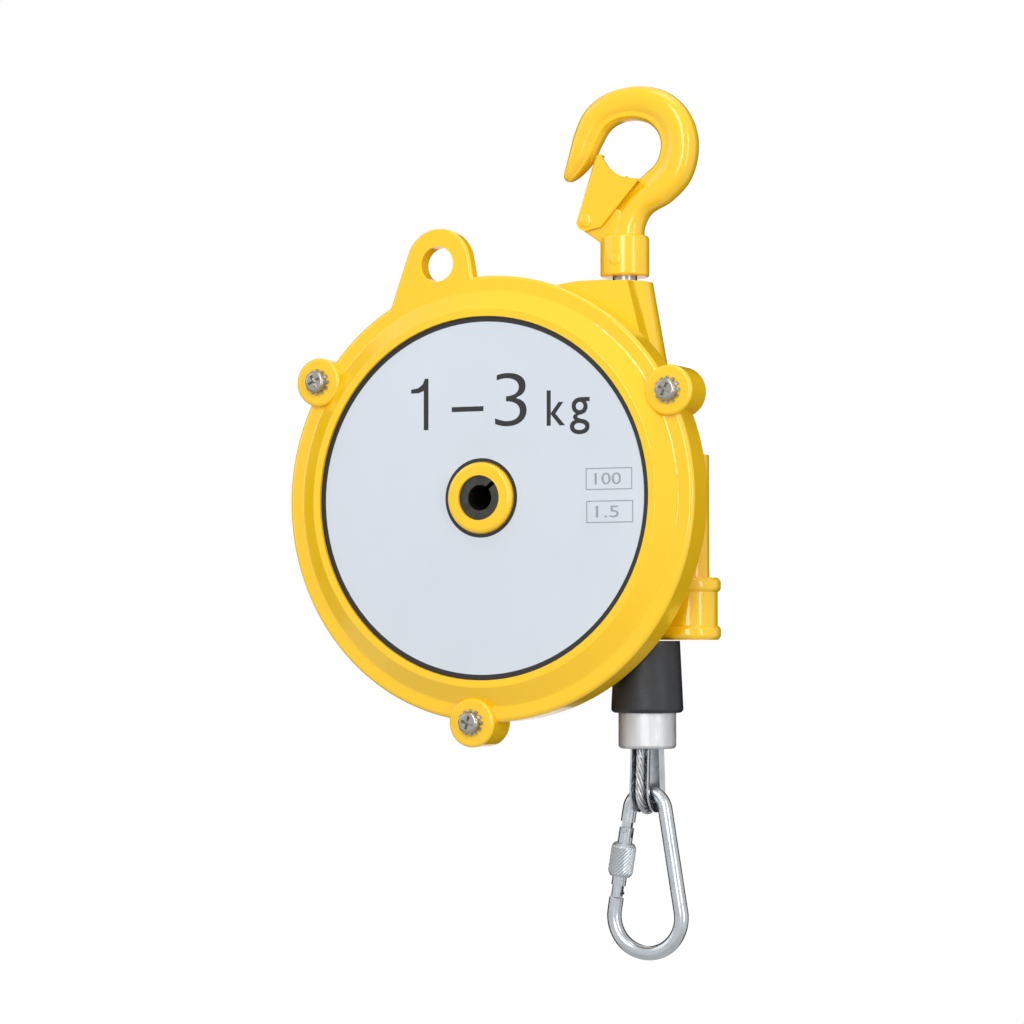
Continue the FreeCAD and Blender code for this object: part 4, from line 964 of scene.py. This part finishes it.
def board(size_x, size_y):
    """Flat rectangle about the origin."""
    shape = bmesh.new()
    bmesh.ops.create_grid(shape, x_segments=1, y_segments=1, size=0.5)
    bmesh.ops.scale(shape, verts=shape.verts, vec=(size_x, size_y, 1))
    return shape


def black_felt():
    """Felt on a card: black and fully matt, slightly uneven."""
    material, tree, shader, place = begin("black felt", Roughness=1.0, IOR=1.3)
    tinted(tree, shader, linear("161616"), mottle(tree, place, 20, 0, 1), 0.8)
    return material


def flag(name, aim, turn):
    """Dark card that only mirrored rays see: it gives round bright metal its dark edge."""
    shape = board(FLAG_WIDE, FLAG_TALL)
    away = away_from_front(turn, 0, FLAG_FAR)
    facing = away.to_track_quat("Z", "Y").to_matrix().to_4x4()
    bmesh.ops.transform(shape, matrix=Matrix.Translation(aim + away) @ facing,
                        verts=shape.verts)
    card = put(name, shape, black_felt())
    card.visible_camera = False
    card.visible_diffuse = False
    card.visible_transmission = False
    card.visible_shadow = False


def white_to_the_eye(tree):
    """1 for rays that show the surroundings: straight, mirrored or through glass."""
    path = add(tree, "ShaderNodeLightPath")
    mirrored = add(tree, "ShaderNodeMath", {0: path.outputs["Is Glossy Ray"],
                                            1: path.outputs["Is Transmission Ray"]},
                   operation="MAXIMUM")
    return add(tree, "ShaderNodeMath", {0: path.outputs["Is Camera Ray"],
                                        1: mirrored.outputs["Value"]},
               operation="MAXIMUM").outputs["Value"]


def pale_floor():
    """Painted board: pale and matt, lifted to white where it is seen, shadows kept."""
    material, tree, shader, place = begin("pale board", Roughness=0.9)
    tinted(tree, shader, linear("E9E9E7"), mottle(tree, place, 300, 0, 1), 0.97)
    lift = add(tree, "ShaderNodeEmission", {"Color": (1, 1, 1, 1), "Strength": 1.0})
    share = add(tree, "ShaderNodeMath", {0: white_to_the_eye(tree), 1: FLOOR_LIFT},
                operation="MULTIPLY")
    mix = add(tree, "ShaderNodeMixShader", {0: share.outputs["Value"],
                                            1: shader.outputs["BSDF"],
                                            2: lift.outputs[0]})
    output = [n for n in tree.nodes if n.bl_idname == "ShaderNodeOutputMaterial"][0]
    tree.links.new(mix.outputs[0], output.inputs["Surface"])
    return material


class BALANCER_OT_stage(bpy.types.Operator):
    """Camera, lamps, white surroundings and a pale floor below the longest reach"""
    bl_idname = "balancer.stage"
    bl_label = "Stage"

    def execute(self, context):
        scene = context.scene
        stage = scene.balancer_stage
        camera = bpy.data.objects.new("camera", bpy.data.cameras.new("camera"))
        scene.collection.objects.link(camera)
        camera.location = stage.camera_at
        camera.rotation_euler = Vector(stage.looks_at).to_track_quat("-Z", "Y").to_euler()
        camera.data.lens = stage.lens
        camera.data.sensor_width = 36      # mm
        camera.data.clip_end = 100         # metres
        scene.camera = camera
        scene.view_settings.view_transform = "Standard"
        aim = (Vector(CAD_BOX[0]) + Vector(CAD_BOX[1])) / 2
        for name, turn, rise, gap, wide, tall, power in LAMPS:
            away = away_from_front(turn, rise, gap)
            lamp = bpy.data.lights.new(name, "AREA")
            lamp.shape = "RECTANGLE"
            lamp.size, lamp.size_y, lamp.energy = wide, tall, power
            holder = bpy.data.objects.new(name, lamp)
            scene.collection.objects.link(holder)
            holder.location = aim + away
            holder.rotation_euler = away.to_track_quat("Z", "Y").to_euler()
        for name, turn in FLAGS:
            flag(name, aim, turn)
        scene.world = bpy.data.worlds.new("surroundings")
        scene.world.use_nodes = True
        tree = scene.world.node_tree
        tree.nodes.clear()
        ambient = add(tree, "ShaderNodeBackground", {"Color": (1, 1, 1, 1),
                                                     "Strength": AMBIENT})
        white = add(tree, "ShaderNodeBackground", {"Color": (1, 1, 1, 1), "Strength": 1.0})
        mix = add(tree, "ShaderNodeMixShader", {0: white_to_the_eye(tree),
                                                1: ambient.outputs[0],
                                                2: white.outputs[0]})
        add(tree, "ShaderNodeOutputWorld", {"Surface": mix.outputs[0]})
        ground = board(FLOOR_SIDE, FLOOR_SIDE)
        bmesh.ops.translate(ground, verts=ground.verts,
                            vec=(aim.x, aim.y, CAD_BOX[0][2] - stage.floor_drop))
        put("floor", ground, pale_floor())
        return {"FINISHED"}


OPERATORS = (BALANCER_OT_finish_frame, BALANCER_OT_label, BALANCER_OT_rope_eye,
             BALANCER_OT_thimble, BALANCER_OT_cable_run, BALANCER_OT_sleeve,
             BALANCER_OT_hook, BALANCER_OT_latch, BALANCER_OT_stage)


class BALANCER_PT_panel(bpy.types.Panel):
    """Lists the steps that dress the balancer"""
    bl_idname = "BALANCER_PT_panel"
    bl_label = "Tool balancer"
    bl_space_type = "VIEW_3D"
    bl_region_type = "UI"
    bl_category = "Balancer"

    def draw(self, context):
        for operator in OPERATORS:
            self.layout.operator(operator.bl_idname)
        for group in (context.scene.balancer_colours, context.scene.balancer_sizes,
                      context.scene.balancer_stage):
            for name in group.bl_rna.properties.keys():
                if name not in ("rna_type", "name"):
                    self.layout.prop(group, name)


CLASSES = (BalancerColours, BalancerSizes, BalancerStage) + OPERATORS + (BALANCER_PT_panel,)


def register():
    """Add the classes, and one group of settings each for colours, sizes and stage."""
    for item in CLASSES:
        bpy.utils.register_class(item)
    bpy.types.Scene.balancer_colours = bpy.props.PointerProperty(type=BalancerColours)
    bpy.types.Scene.balancer_sizes = bpy.props.PointerProperty(type=BalancerSizes)
    bpy.types.Scene.balancer_stage = bpy.props.PointerProperty(type=BalancerStage)


def unregister():
    """Take away all that register added."""
    del bpy.types.Scene.balancer_colours
    del bpy.types.Scene.balancer_sizes
    del bpy.types.Scene.balancer_stage
    for item in reversed(CLASSES):
        bpy.utils.unregister_class(item)


def main():
    """Dress the frame step by step."""
    register()
    bpy.ops.balancer.finish_frame()
    bpy.ops.balancer.label()
    bpy.ops.balancer.rope_eye()
    bpy.ops.balancer.thimble()
    bpy.ops.balancer.cable_run()
    bpy.ops.balancer.sleeve()
    bpy.ops.balancer.hook()
    bpy.ops.balancer.latch()
    bpy.ops.balancer.stage()


if __name__ == "__main__":
    main()
